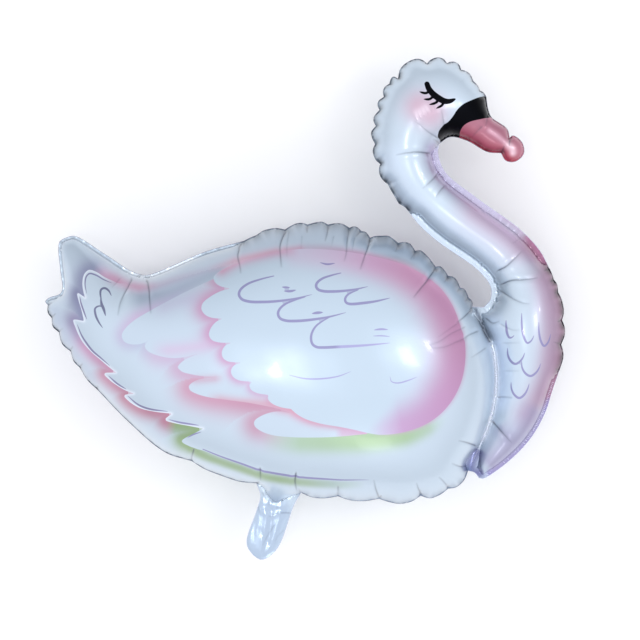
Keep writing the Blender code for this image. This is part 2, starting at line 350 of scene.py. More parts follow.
EDGE = [
    Stretch("tail", [
        [(45.5, 301.5), (49, 298), (60, 294), (62.5, 289), (60.5, 270), (58.6, 248),
         (60, 241.5), (68, 237.2), (75, 236.3), (105, 254.5), (132, 271.7), (146, 275.3),
         (158, 272), (204, 252.4), (244, 241)],
    ], NARROW_RIM),
    Stretch("back", [
        [(250, 238), (257, 235), (263, 231), (270, 229), (277, 228.3), (285, 229.8)],
        [(291, 226), (297, 223.5), (303, 223.3), (307.5, 224.8)],
        [(315, 222.8), (322, 222), (328, 224.8)], [(335, 223.5), (342, 224), (349.5, 228)],
        [(354, 226.5), (358, 228), (361, 231)], [(366, 232.5), (370, 238)],
        [(375, 236.3), (382, 236), (388, 236), (393, 239), (398, 243)],
        [(405, 242.3), (410, 244), (415, 251)],
        [(420, 250.5), (425, 254), (430, 259.5), (435.5, 267)],
        [(440, 266.5), (444, 270), (448, 276)], [(453, 277), (457, 281), (460, 288)],
        [(464, 289), (467, 294), (468.5, 298)], [(471, 300), (472.5, 303), (472, 307)],
    ]),
    Stretch("upper_web", [[(483.5, 307.5)]], 0),
    Stretch("nape", [
        [(490.3, 300), (491, 287), (478, 270), (438, 241.5), (420, 225.5), (408, 210.5)],
    ], SMOOTH_RIM),
    Stretch("head", [
        [(405, 207), (399, 203.5)], [(394, 195), (391, 190), (388, 184)],
        [(383.5, 180.5), (380, 175), (379.3, 168), (380.5, 164)],
        [(376, 160), (373.8, 155), (373, 150), (375.3, 144)],
        [(372.3, 138), (371.5, 132), (376, 126)], [(373.8, 121), (374, 117), (379.7, 110)],
        [(377.8, 105), (378.8, 101), (384, 97)], [(383.3, 91), (385, 87), (389.5, 84)],
        [(391, 79), (393.5, 76.8), (398.2, 79)],
        [(400, 70), (404, 65), (410, 61), (417, 59), (423, 60.5), (427, 64)],
        [(430, 60.5), (437, 57.7), (443, 59), (447, 63.5)],
        [(450.5, 62), (455, 62.2), (459, 65), (461, 70)], [(465, 71), (470, 74.5), (473, 81)],
        [(476, 84), (478.5, 87.5), (480, 91)], [(483, 92.3), (486, 96.5)],
    ]),
    Stretch("bill_top", [[(488.3, 110.5), (491.5, 117.5), (507, 129), (509.5, 138)]]),
    Stretch("bill_nail", [
        [(513, 135.6), (522, 142.5), (523.7, 153.5), (515.5, 161.4), (506, 160.7), (501, 153)],
    ]),
    Stretch("bill_under", [[(487.5, 151.8), (467, 140.6), (450, 136.9), (438.7, 144)]]),
    Stretch("throat", [
        [(438, 154), (445, 172), (476, 197.5), (520, 229.5), (540, 251), (549.5, 269)],
    ], SMOOTH_RIM),
    Stretch("breast", [
        [(551.8, 274), (553.5, 279.5)], [(557, 284.5), (557.8, 292)],
        [(561, 298.5), (563, 306), (563.6, 313), (561.8, 320)],
        [(564.4, 327), (564.5, 335), (561, 344.5)], [(563, 352), (563, 358), (559, 371)],
    ]),
    Stretch("foot_of_neck", [
        [(552.5, 390), (544.5, 414), (530, 439), (510, 460), (490, 475), (483, 478.6),
         (479, 477.8)],
    ], FOOT_RIM),
    Stretch("lower_web", [[(474.5, 472.5), (468, 470.5)]], 0),
    Stretch("belly", [
        [(464, 480), (456, 487), (448, 488.5)], [(440, 494.5), (430, 498), (420.5, 495.5)],
        [(411, 501.5), (399, 503.5), (388, 501.5), (379, 498.5)],
        [(365, 500.8), (350, 500), (338, 496)], [(325, 498), (312, 497), (301, 492.5)],
    ]),
    Stretch("filler", [
        [(294, 505), (276.5, 549.5), (261, 559.5), (247, 545), (256.5, 511), (260.5, 496),
         (256.5, 483)],
    ], 0),
    Stretch("under_tail", [[(240, 481.5), (222, 475.7), (205, 469), (192, 461)]]),
    Stretch("flank", [[(165, 452), (128, 421), (97.5, 389.5)]]),
    Stretch("tail_edge", [
        [(87.5, 379.8), (80, 367.5)], [(73.8, 361), (71, 351.5)], [(62.5, 344), (59, 332)],
        [(53, 326.5), (52, 318)], [(48, 312.5), (48, 305)],
    ]),
]
BODY_SEAM = ("tail", "back", "weld", "belly", "filler_root", "under_tail", "flank", "tail_edge")
NECK_SEAM = ("nape", "head", "bill_top", "bill_nail", "bill_under", "throat", "breast",
        "foot_of_neck", "weld")

# The weld's middle line, downwards. The last figure is the half width, in squares, that the flat
# web at each end adds to the weld's own.
WELD = [(478, 314, 2.5), (481, 322, 0.4), (485.5, 332, 0), (492, 345, 0), (495.3, 362, 0),
        (496.2, 382, 0), (494.6, 400, 0), (490.5, 418, 0), (485, 434, 0), (478.5, 449, 0.4),
        (474.5, 457, 3.2), (471, 464.5, 5.6)]
FILLER_ROOT = [(294, 494), (284, 499), (275, 501), (268, 494), (263, 486)]


class Outline:
    """The foil's edge, as one clockwise loop, and the seam of each chamber inside it."""

    def __init__(self, paper: Paper) -> None:
        """Joins the stretches and moves the seams in from them.

        Args:
            paper: the paper that they are drawn on.
        """
        self.square = paper.square
        self.rows: dict[str, slice] = {}
        self.rims = {stretch.name: stretch.rim for stretch in EDGE}
        names = list(self.rims)
        self.tapers = {
            name: (self.rims[names[at - 1]] == PUCKERED_RIM,
                   self.rims[names[(at + 1) % len(names)]] == PUCKERED_RIM)
            for at, name in enumerate(names)
        }
        points, cusps = [], []
        count = 0
        last = EDGE[-1].runs[-1][-1]
        for stretch in EDGE:
            first = count
            for run in stretch.runs:
                line = resampled(spline(paper.flat([last] + run)), EDGE_STEP)[:-1]
                last = run[-1]
                points.append(line)
                cusps.append(np.arange(len(line)) == 0)
                count += len(line)
            self.rows[stretch.name] = slice(first, count)
        self.edge = np.vstack(points)
        self.is_cusp = np.concatenate(cusps)
        self.inward = -line_normals(self.edge, is_loop=True)
        self.trace = Trace(closed(self.edge))
        self.filler_root = resampled(spline(paper.flat(FILLER_ROOT)), EDGE_STEP)
        squares = np.array(WELD)
        half = WELD_WIDTH / 2 + squares[:, 2:] * paper.square
        line = spline(np.column_stack([paper.flat(squares), half]))
        self.weld_middle = line[:, :2]
        leftward = line_normals(line[:, :2], is_loop=False)
        body_side = resampled(line[:, :2] - leftward * line[:, 2:], EDGE_STEP)
        neck_side = resampled(line[:, :2] + leftward * line[:, 2:], EDGE_STEP)
        self.body = self.seam_loop(BODY_SEAM, body_side)
        self.neck = self.seam_loop(NECK_SEAM, neck_side[::-1])

    def rim_along(self, name: str) -> Array:
        """Narrows the rim of a stretch where it meets a puckered one.

        Args:
            name: the stretch.

        Returns:
            the rim's width at each of its points.
        """
        rows, rim = self.rows[name], self.rims[name]
        along = EDGE_STEP * np.arange(rows.stop - rows.start)
        share = np.ones(len(along))
        for tapered, distance in zip(self.tapers[name], (along, along[::-1])):
            if tapered:
                share = np.minimum(share, np.clip(distance / RIM_TAPER, 0, 1))
        share = share * share * (3 - 2 * share)
        narrow = min(rim, PUCKERED_RIM)
        return narrow + (rim - narrow) * share

    def moved_in(self, name: str) -> Array:
        """Moves one stretch of the edge in to the seam.

        Args:
            name: the stretch.

        Returns:
            the seam's points, a rim's width in.
        """
        rows, rim = self.rows[name], self.rim_along(name)
        moved = self.edge[rows] + rim[:, None] * self.inward[rows]
        return moved[self.trace.nearest(moved, SMOOTH_RIM)[0] > CLEAR_SHARE * rim]

    def seam_loop(self, names: tuple[str, ...], weld: Array) -> Array:
        """Closes the seam of one chamber.

        Args:
            names: the stretches that it follows, in order.
            weld: the side of the weld that it takes.

        Returns:
            the loop's points, none of them crowded.
        """
        other = {"weld": weld, "filler_root": self.filler_root}
        parts = [other[name] if name in other else self.moved_in(name) for name in names]
        kept = [parts[0][0]]
        for point in np.vstack(parts)[1:]:
            if np.linalg.norm(point - kept[-1]) > CROWDED_SHARE * EDGE_STEP:
                kept.append(point)
        if np.linalg.norm(kept[-1] - kept[0]) < CROWDED_SHARE * EDGE_STEP:
            kept.pop()
        return np.array(kept)


class Scatter:
    """Points that keep their distance from each other, found through square cells."""

    def __init__(self) -> None:
        """Starts with no points."""
        self.cells: dict[tuple[int, int], list[tuple[float, float]]] = {}
        self.kept: list[tuple[float, float]] = []

    def add(self, points: Array, clearance: float) -> None:
        """Takes in the points that are clear of those it has.

        Args:
            points: x and y of each candidate, in metres.
            clearance: the least distance to any point already kept, no more than a cell.
        """
        limit = clearance ** 2
        for x, y in points.tolist():
            column, row = int(x // CELL), int(y // CELL)
            near = (other for i in (-1, 0, 1) for j in (-1, 0, 1)
                    for other in self.cells.get((column + i, row + j), ()))
            if all((x - a) ** 2 + (y - b) ** 2 > limit for a, b in near):
                self.cells.setdefault((column, row), []).append((x, y))
                self.kept.append((x, y))


def hexagonal(low: Array, high: Array, spacing: float) -> Array:
    """Fills a box with points in a hexagonal pattern.

    Args:
        low: the box's lower corner.
        high: its upper corner.
        spacing: the distance between neighbours.

    Returns:
        the points.
    """
    rows = np.arange(low[1], high[1], spacing * math.sqrt(3) / 2)
    columns = np.arange(low[0], high[0], spacing)
    x = columns[None] + (np.arange(len(rows)) % 2)[:, None] * spacing / 2
    return np.column_stack([x.ravel(), np.repeat(rows, len(columns))])


class Pattern:
    """The foil's flat pattern: its triangles, and half its swollen height at each point."""

    FACE = ((398, 60), (530, 170))
    ROW_CLEARANCE = 0.00055
    RING_CLEARANCE = 0.0014
    FACE_CLEARANCE = 0.0010
    FILL_CLEARANCE = 0.0016
    MOST_STEPS = 3000
    CLOSE_ENOUGH = 1e-12

    def __init__(self, paper: Paper, outline: Outline, rows: list[Array]) -> None:
        """Triangulates the foil along its seams and along what is drawn or creased on it.

        Args:
            paper: the paper that it is drawn on.
            outline: its edge and its seams.
            rows: lines of points that the mesh follows.
        """
        scatter = Scatter()
        for loop in (outline.edge, outline.body, outline.neck):
            scatter.add(loop, 0)
        for row in rows:
            scatter.add(row, self.ROW_CLEARANCE)
        for loop in (outline.body, outline.neck):
            inward = -line_normals(loop, is_loop=True)
            for depth in RING_DEPTHS:
                scatter.add(loop + depth * inward, min(self.RING_CLEARANCE, 0.8 * depth + 0.0004))
        face = paper.flat(self.FACE)
        scatter.add(hexagonal(face.min(axis=0), face.max(axis=0), FACE_SPACING), self.FACE_CLEARANCE)
        low, high = outline.edge.min(axis=0), outline.edge.max(axis=0)
        scatter.add(hexagonal(low, high, FILL_SPACING), self.FILL_CLEARANCE)
        loops = (outline.edge, outline.body, outline.neck)
        edges, first = [], 0
        for loop in loops:
            count = len(loop)
            edges += [(first + i, first + (i + 1) % count) for i in range(count)]
            first += count
        places = [Vector(point) for point in scatter.kept]
        found = delaunay_2d_cdt(places, edges, [], INSIDE_ONLY, SAME_POINT)
        points = np.array([tuple(point) for point in found[0]])
        triangles = np.array(found[2])
        used, triangles = np.unique(triangles, return_inverse=True)
        self.points, self.triangles = points[used], triangles.reshape(-1, 3)
        self.held = np.ones(len(self.points), bool)
        for loop in (outline.body, outline.neck):
            distance, _ = Trace(closed(loop)).nearest(self.points, 1.0)
            within = inside(self.points, loop) & (distance > ON_SEAM)
            self.held &= ~within
        self.rise = self.swollen(paper.half_depth)

    def swollen(self, half_depth: float) -> Array:
        """Swells the chambers as a membrane, round near the seam and flatter over the body.

        Args:
            half_depth: the greatest half height, in metres.

        Returns:
            half the foil's height at each point, nought on the rim and the welds.
        """
        corners = self.points[self.triangles]
        opposite = np.roll(corners, -1, axis=1) - np.roll(corners, -2, axis=1)
        double = abs(opposite[:, 0, 0] * opposite[:, 1, 1] - opposite[:, 0, 1] * opposite[:, 1, 0])
        local = np.einsum("mik,mjk->mij", opposite, opposite) / (2 * double)[:, None, None]
        count = len(self.points)
        load = np.bincount(self.triangles.ravel(), np.repeat(4 * double / 6, 3), count)
        own = local[:, [0, 1, 2], [0, 1, 2]].ravel()
        diagonal = np.bincount(self.triangles.ravel(), own, count)
        start = self.triangles.ravel()
        end = np.roll(self.triangles, -1, axis=1).ravel()
        between = local[:, [0, 1, 2], [1, 2, 0]].ravel()
        free = ~self.held

        def pulled(level: Array) -> Array:
            """The membrane's pull at each point for these levels."""
            return (diagonal * level + np.bincount(start, between * level[end], count)
                    + np.bincount(end, between * level[start], count)) * free

        level = np.zeros(count)
        left = load * free
        step = left / diagonal
        push = step.copy()
        power = left @ step
        goal = self.CLOSE_ENOUGH * power
        for _ in range(self.MOST_STEPS):
            pull = pulled(push)
            share = power / (push @ pull)
            level += share * push
            left = left - share * pull
            step = left / diagonal
            fresh = left @ step
            if fresh < goal:
                break
            push = step + fresh / power * push
            power = fresh
        rise = np.sqrt(np.maximum(level, 0) / 2)
        flattening = 1 / half_depth ** 2 - 1 / rise.max() ** 2
        return rise / np.sqrt(1 + rise ** 2 * flattening)

    def normals(self, height: Array) -> Array:
        """Finds the unit normals of the surface over the pattern.

        Args:
            height: the surface's height at each point.

        Returns:
            one upward normal for each point.
        """
        places = np.column_stack([self.points, height])[self.triangles]
        faces = np.cross(places[:, 1] - places[:, 0], places[:, 2] - places[:, 0])
        sums = np.column_stack([
            np.bincount(self.triangles.ravel(), np.repeat(faces[:, k], 3), len(self.points))
            for k in range(3)
        ])
        return sums / np.maximum(np.linalg.norm(sums, axis=1), 1e-18)[:, None]


class Side(Enum):
    """Which of the two sheets a mesh is."""

    FRONT = 1
    BACK = -1


@dataclass(frozen=True)
class Crease:
    """A fold in the film: its path in squares, and its depth in metres."""

    path: Points
    depth: float


def creases(rows: list[tuple]) -> list[Crease]:
    """Creases from rows that each hold a depth in millimetres and the places along the path."""
    return [Crease(list(path), depth / 1000) for depth, *path in rows]


# Creases that show on the front, as the camera sees them
CREASES = creases([
    (2.6, (242, 243), (239.5, 250), (238, 256), (240, 266), (241, 274)),
    (2.8, (285.5, 231), (281.5, 240), (280, 246), (280.5, 256), (281.5, 268)),
    (2, (328.5, 226), (327, 234), (325, 242)),
    (1.8, (349.5, 229), (347.5, 240), (346, 254), (344, 262)),
    (3, (370, 239), (368, 247), (365, 255), (360, 270)), (1.5, (398.5, 244), (395, 252)),
    (1.6, (415, 252), (410, 260)),
    (3, (435.5, 268), (430, 276), (425, 283), (420, 289), (413, 298)),
    (1.4, (448, 277), (443, 283)), (2.4, (149, 280), (149.5, 288), (150, 300), (151, 314)),
    (1.8, (134, 279), (127, 290), (121, 302), (118, 316)), (1, (121, 279), (112, 288)),
    (2, (194, 449), (192.5, 455), (192, 460)), (1.8, (260, 468), (261, 480)),
    (2.2, (296, 473), (295, 482), (297, 491)), (1.6, (338, 486), (338, 495)),
    (1.8, (378.5, 497), (376, 490), (373.5, 479)), (1.8, (420.5, 494), (418, 488), (416, 482)),
    (1.6, (448, 487), (443, 481), (438, 476)), (2, (471, 310), (464, 317), (456, 323)),
    (1.6, (478, 331), (469, 335), (459, 342)), (1.2, (486, 348), (477, 354), (470, 358)),
    (2, (476, 446), (468, 443), (458, 440.5)), (1.6, (466, 466), (459, 466), (451, 463)),
    (2, (497, 271), (505, 267), (513, 260), (522, 251)),
    (2, (501, 284.5), (511, 280.5), (524, 279.5), (538, 277.5)),
    (1.6, (500, 291), (508, 296), (520, 302), (530, 304)),
    (1.4, (497, 397), (505, 397), (513, 398)),
    (2.6, (489, 418), (497, 427), (507, 438), (512, 443)),
    (1.8, (485, 318), (492, 323), (500, 321)),
    (2, (434, 154.5), (420, 152.5), (408, 153), (395, 155.5)),
    (1.6, (438, 173), (434, 178), (428, 184), (422, 189)),
    (1.4, (444, 186), (440, 191), (435, 198)),
    (1.4, (438, 140), (431, 135), (423, 128), (414, 121)),
    (1.2, (444, 127), (443, 118), (441, 109)), (1.2, (487, 116), (486.5, 122), (485, 128)),
    (1.2, (482, 127), (477, 132), (471, 138)),
    (1.8, (477, 449), (479, 457), (480, 466), (482, 476)),
    (1, (465, 327), (452, 333), (440, 341), (430, 345)),
    (1, (467, 337), (456, 342), (444, 347), (432, 348)), (0.8, (459, 322), (448, 330), (437, 338)),
    (0.8, (302, 236), (301, 250)), (1, (289, 232), (287, 246), (287, 258)),
    (0.8, (334, 236), (331, 248)), (1, (355, 238), (352, 252)),
    (1, (529, 229), (520, 238), (512, 244)), (0.8, (488, 207), (480, 214)),
    (1, (500, 324), (512, 330), (520, 330)), (0.8, (503, 343), (520, 343)),
    (0.8, (505, 371), (520, 371)),
] + [(0.6, (417 + 3.6 * step, 121 - 2.2 * step), (413 + 3.6 * step, 113 - 2.2 * step))
     for step in range(8)])
# Where the filler's film is folded sharply
FILLER_CREASES = creases([
    (1.6, (262, 492), (266, 499), (270, 506)), (1.6, (284, 499), (279, 504), (276, 510)),
    (1.8, (290, 513), (280, 513), (268, 517)), (1.2, (258, 506), (260, 516), (259, 526)),
    (1.4, (275, 524), (268, 535), (262, 546)), (1, (284, 530), (278, 536), (274, 545)),
])
# Soft folds of the filler tail, with their height, below nought where they dip
FILLER_FOLDS = creases([
    (1.6, (262, 500), (266, 518), (262, 540), (260, 556)),
    (-1.8, (270, 502), (271, 520), (268, 540), (264, 554)),
    (1.4, (281, 502), (279, 520), (273, 540), (266, 553)),
    (-1.2, (289, 501), (285, 516), (279, 530), (274, 546)),
    (-1, (256, 518), (254, 532), (254, 546)),
    (1.2, (262, 512), (271, 516), (281, 513), (290, 518)),
    (-1.2, (260, 530), (266, 540), (272, 548)),
    (-1.2, (259, 505), (268, 508), (275, 514)),
    (1, (268, 503), (278, 506), (290, 505)),
])


class Relief:
    """The wrinkles that the flat foil takes as it swells, as moves along the surface's normal."""

    STEP = 0.0016
    ROW_OFFSETS = (0.0, 0.0009, -0.0009, 0.0021, -0.0021, 0.0036, -0.0036)
    # A crease: a sharp valley in a broad one, between raised lips; painted shade where it is tight
    REACH = 0.020
    SHARP, SHARP_SHARE = 0.0010, 0.62
    BROAD, BROAD_SHARE = 0.0055, 0.38
    LIP_PLACE, LIP_WIDTH, LIP_SHARE = 0.0062, 0.0034, 0.30
    PINCH, DARKEST = 0.0012, 0.0021
    # Creases from the cusps: how long and how deep, and how small round the head
    CUSP_SEED = 11
    CUSP_LENGTHS = ((Side.FRONT, 0.012), (Side.BACK, 0.045))
    CUSP_LEAST, CUSP_LEAN = 0.006, 0.25
    CUSP_DEPTHS = (0.0012, 0.0024)
    HEAD_SHARE = 0.4
    # Gathers between the cusps, puffed where the cusps are close
    GATHER_REACH, GATHER_FALL, RIPPLE_FALL = 0.045, 0.012, 0.009
    PILLOW, PILLOW_DIP, LONG_CHORD = 0.0016, 0.0006, 0.06
    RIPPLE, RIPPLE_LENGTH, RIPPLE_SEED = 0.00035, 0.008, 5
    # Waves of the flat rim, and long dents over the whole sheet, with the way that they run
    RIM_WAVE, RIM_LENGTH, RIM_SEED = 0.00022, 0.011, 21
    FINE_WAVE, FINE_LENGTH, FINE_SEED = 0.00008, 0.0050, 22
    FLAT_REACH = 0.030
    SLACK, SLACK_LENGTH = 0.00012, 0.075
    SLACK_WAYS = ((0.3, 31), (1.4, 32), (2.5, 33))
    # The filler tail: its puff, and its soft folds with the dips beside them
    PUFF, PUFF_REACH, PUFF_LIMITS = 0.0016, 0.012, (-0.0004, 0.0034)
    FOLD_SHARE, FOLD_WIDTH = 0.5, 0.0038
    DIP_SHARE, DIP_WIDTH, FOLD_REACH = 0.3, 0.008, 0.010

    def __init__(self, paper: Paper, outline: Outline) -> None:
        """Lays out the creases: those drawn, and a short one from every cusp of the edge.

        Args:
            paper: the paper that they are drawn on.
            outline: the foil's edge.
        """
        chance = np.random.default_rng(self.CUSP_SEED)
        self.paper = paper
        self.outline = outline
        self.lines: dict[Side, list[tuple[Array, float]]] = {Side.FRONT: [], Side.BACK: []}
        for crease in CREASES + FILLER_CREASES:
            line = paper.raised(resampled(spline(paper.flat(crease.path)), self.STEP))
            self.lines[Side.FRONT].append((line, crease.depth))
        head = outline.rows["head"]
        for row in np.flatnonzero(outline.is_cusp):
            cusp, way = outline.edge[row], outline.inward[row]
            small = self.HEAD_SHARE if head.start <= row < head.stop else 1.0
            for side, longest in self.CUSP_LENGTHS:
                length = small * (chance.uniform(0.35, 1.0) * longest + self.CUSP_LEAST)
                lean = chance.uniform(-self.CUSP_LEAN, self.CUSP_LEAN)
                turned = np.array([way[0] - lean * way[1], way[1] + lean * way[0]])
                steps = np.linspace(0, length, max(3, int(length / self.STEP)))
                line = cusp + steps[:, None] * turned
                self.lines[side].append((line, small * chance.uniform(*self.CUSP_DEPTHS)))

    def rows(self) -> list[Array]:
        """Lines of mesh points that follow each crease and both its sides.

        Returns:
            the points of each line.
        """
        found = []
        for line, _ in self.lines[Side.FRONT] + self.lines[Side.BACK]:
            leftward = line_normals(line, is_loop=False)
            found += [line + offset * leftward for offset in self.ROW_OFFSETS]
        return found

    def folded(self, points: Array, side: Side) -> tuple[Array, Array]:
        """Adds up the creases of one sheet.

        Args:
            points: x and y of each point.
            side: the sheet.

        Returns:
            how far each point moves out of the surface, in metres, and how strong the painted shade of
            the creases is there, up to 1.
        """
        total = np.zeros(len(points))
        pinched = np.zeros(len(points))
        for line, depth in self.lines[side]:
            trace = Trace(line)
            distance, along = trace.nearest(points, self.REACH)
            share = along / trace.length
            fade = np.clip(1 - share, 0, 1) ** 0.7 * np.clip(share / 0.06 + 0.4, 0, 1)
            valley = (self.SHARP_SHARE * np.exp(-distance / self.SHARP)
                      + self.BROAD_SHARE * np.exp(-(distance / self.BROAD) ** 2))
            lips = self.LIP_SHARE * np.exp(-((distance - self.LIP_PLACE) / self.LIP_WIDTH) ** 2)
            total -= depth * fade * np.where(distance < self.REACH, valley - lips, 0)
            # Painted shade along the crease, darkest where it is deep
            dark = min(1.0, (depth / self.DARKEST) ** 1.5) * fade ** 0.7
            pinched = np.maximum(pinched, dark * np.exp(-(distance / self.PINCH) ** 1.5))
        return total, pinched

    def gathered(self, pattern: Pattern) -> Array:
        """Ripples between the cusps, where the edge of the foil has been gathered in.

        Args:
            pattern: the foil's pattern.

        Returns:
            how far each point moves out of the surface, in metres.
        """
        outline = self.outline
        distance, along = outline.trace.nearest(pattern.points, self.GATHER_REACH)
        lengths = travelled(closed(outline.edge))
        starts = lengths[:-1][outline.is_cusp]
        ends = np.append(starts[1:], lengths[-1])
        which = np.clip(np.searchsorted(starts, along, side="right") - 1, 0, len(starts) - 1)
        chord = ends[which] - starts[which]
        share = (along - starts[which]) / chord
        short = np.clip(1.6 - chord / self.LONG_CHORD, 0, 1)
        pillow = self.PILLOW * np.sin(math.pi * np.clip(share, 0, 1)) ** 1.4 * short
        ripple = self.RIPPLE * waves(along, self.RIPPLE_LENGTH, self.RIPPLE_SEED) * short
        fall = np.exp(-(distance / self.GATHER_FALL) ** 1.3)
        total = (pillow - self.PILLOW_DIP * short) * fall
        total += ripple * np.exp(-distance / self.RIPPLE_FALL)
        return np.where(distance < self.GATHER_REACH, total, 0)

    def crinkled(self, pattern: Pattern) -> Array:
        """Waves the flat rim.

        Args:
            pattern: the foil's pattern.

        Returns:
            the height of each point over the seam's plane, nought on the filler tail.
        """
        distance, along = self.outline.trace.nearest(pattern.points, self.FLAT_REACH)
        wave = self.RIM_WAVE * waves(along, self.RIM_LENGTH, self.RIM_SEED)
        wave += self.FINE_WAVE * waves(along + 3 * distance, self.FINE_LENGTH, self.FINE_SEED)
        return np.where(self.in_filler(pattern), 0, wave * np.clip(distance / 0.002, 0.35, 1))

    def in_filler(self, pattern: Pattern) -> Array:
        """Finds the filler tail.

        Args:
            pattern: the foil's pattern.

        Returns:
            True for each point on it.
        """
        outline = self.outline
        loop = np.vstack([outline.edge[outline.rows["filler"]], outline.filler_root[::-1]])
        return inside(pattern.points, loop) & pattern.held

    def filler(self, pattern: Pattern) -> Array:
        """Puffs and folds the filler tail, as half heights over its flat film.

        Args:
            pattern: the foil's pattern.

        Returns:
            how far each point of the filler stands off the seam's plane, and nought elsewhere.
        """
        outline = self.outline
        own = self.in_filler(pattern)
        distance, _ = outline.trace.nearest(pattern.points, self.FLAT_REACH)
        puffed = self.PUFF * np.sqrt(np.clip(distance / self.PUFF_REACH, 0, 1))
        for fold in FILLER_FOLDS:
            trace = Trace(resampled(spline(self.paper.flat(fold.path)), self.STEP))
            gap, along = trace.nearest(pattern.points, self.FOLD_REACH)
            fade = np.sin(math.pi * np.clip(along / trace.length, 0.08, 0.92)) ** 0.5
            shape = (np.exp(-(gap / self.FOLD_WIDTH) ** 1.7)
                     - self.DIP_SHARE * np.exp(-(gap / self.DIP_WIDTH) ** 2))
            puffed += self.FOLD_SHARE * fold.depth * fade * shape
        return np.where(own, np.clip(puffed, *self.PUFF_LIMITS) * np.clip(distance / 0.003, 0, 1), 0)

    def slack(self, points: Array) -> Array:
        """Dents the whole sheet, long and shallow.

        Args:
            points: x and y of each point.

        Returns:
            how far each point moves out of the surface, in metres.
        """
        total = np.zeros(len(points))
        for turn, seed in self.SLACK_WAYS:
            along = points @ np.array([math.cos(turn), math.sin(turn)])
            total += waves(along, self.SLACK_LENGTH, seed, 3)
        return self.SLACK * total


@dataclass(frozen=True)
class Stroke:
    """A drawn line of the print, widest part way along and tapered to its ends."""

    path: Points
    width: float = 2.0
    start: float = 0.15
    end: float = 0.1
    ink: bool = False
    inset: float = 0.0


def curl(x: float, y: float, left: float, drop: float, right: float, rise: float) -> Stroke:
    """Draws one plume curl: out to the left from its tip, round, and away to the right.

    Args:
        x: where the curl's tip is, in squares.
        y: how far down the page that tip is.
        left: how far the round part reaches to the left of the tip.
        drop: how far it hangs below the tip.
        right: how far its tail runs to the right of the tip.
        rise: how far the tail rises again.

    Returns:
        the stroke.
    """
    low = y + drop
    return Stroke([
        (x, y), (x - 0.36 * left, y + 0.12 * drop), (x - 0.74 * left, y + 0.30 * drop),
        (x - 0.95 * left, y + 0.52 * drop), (x - left, y + 0.71 * drop),
        (x - 0.92 * left, y + 0.89 * drop), (x - 0.70 * left, y + 0.985 * drop),
        (x - 0.35 * left, low), (x + 0.10 * right, low - 0.12 * rise),
        (x + 0.56 * right, low - 0.46 * rise), (x + right, low - rise),
    ], 2.7, 0.3, 0.1)


def plume(x: float, y: float, width: float, drop: float, rise: float = 0.6) -> Stroke:
    """Draws one small plume of the breast: down, round and part of the way up again.

    Args:
        x: where it starts, in squares.
        y: how far down the page it starts.
        width: how wide it is.
        drop: how deep it is.
        rise: the share of its depth that it comes up again.

    Returns:
        the stroke.
    """
    return Stroke([
        (x, y), (x + 0.02 * width, y + 0.42 * drop), (x + 0.18 * width, y + 0.80 * drop),
        (x + 0.45 * width, y + drop), (x + 0.72 * width, y + (1 - 0.22 * rise) * drop),
        (x + 0.90 * width, y + (1 - 0.6 * rise) * drop), (x + width, y + (1 - rise) * drop),
    ], 2.3, 0.1, 0.15)


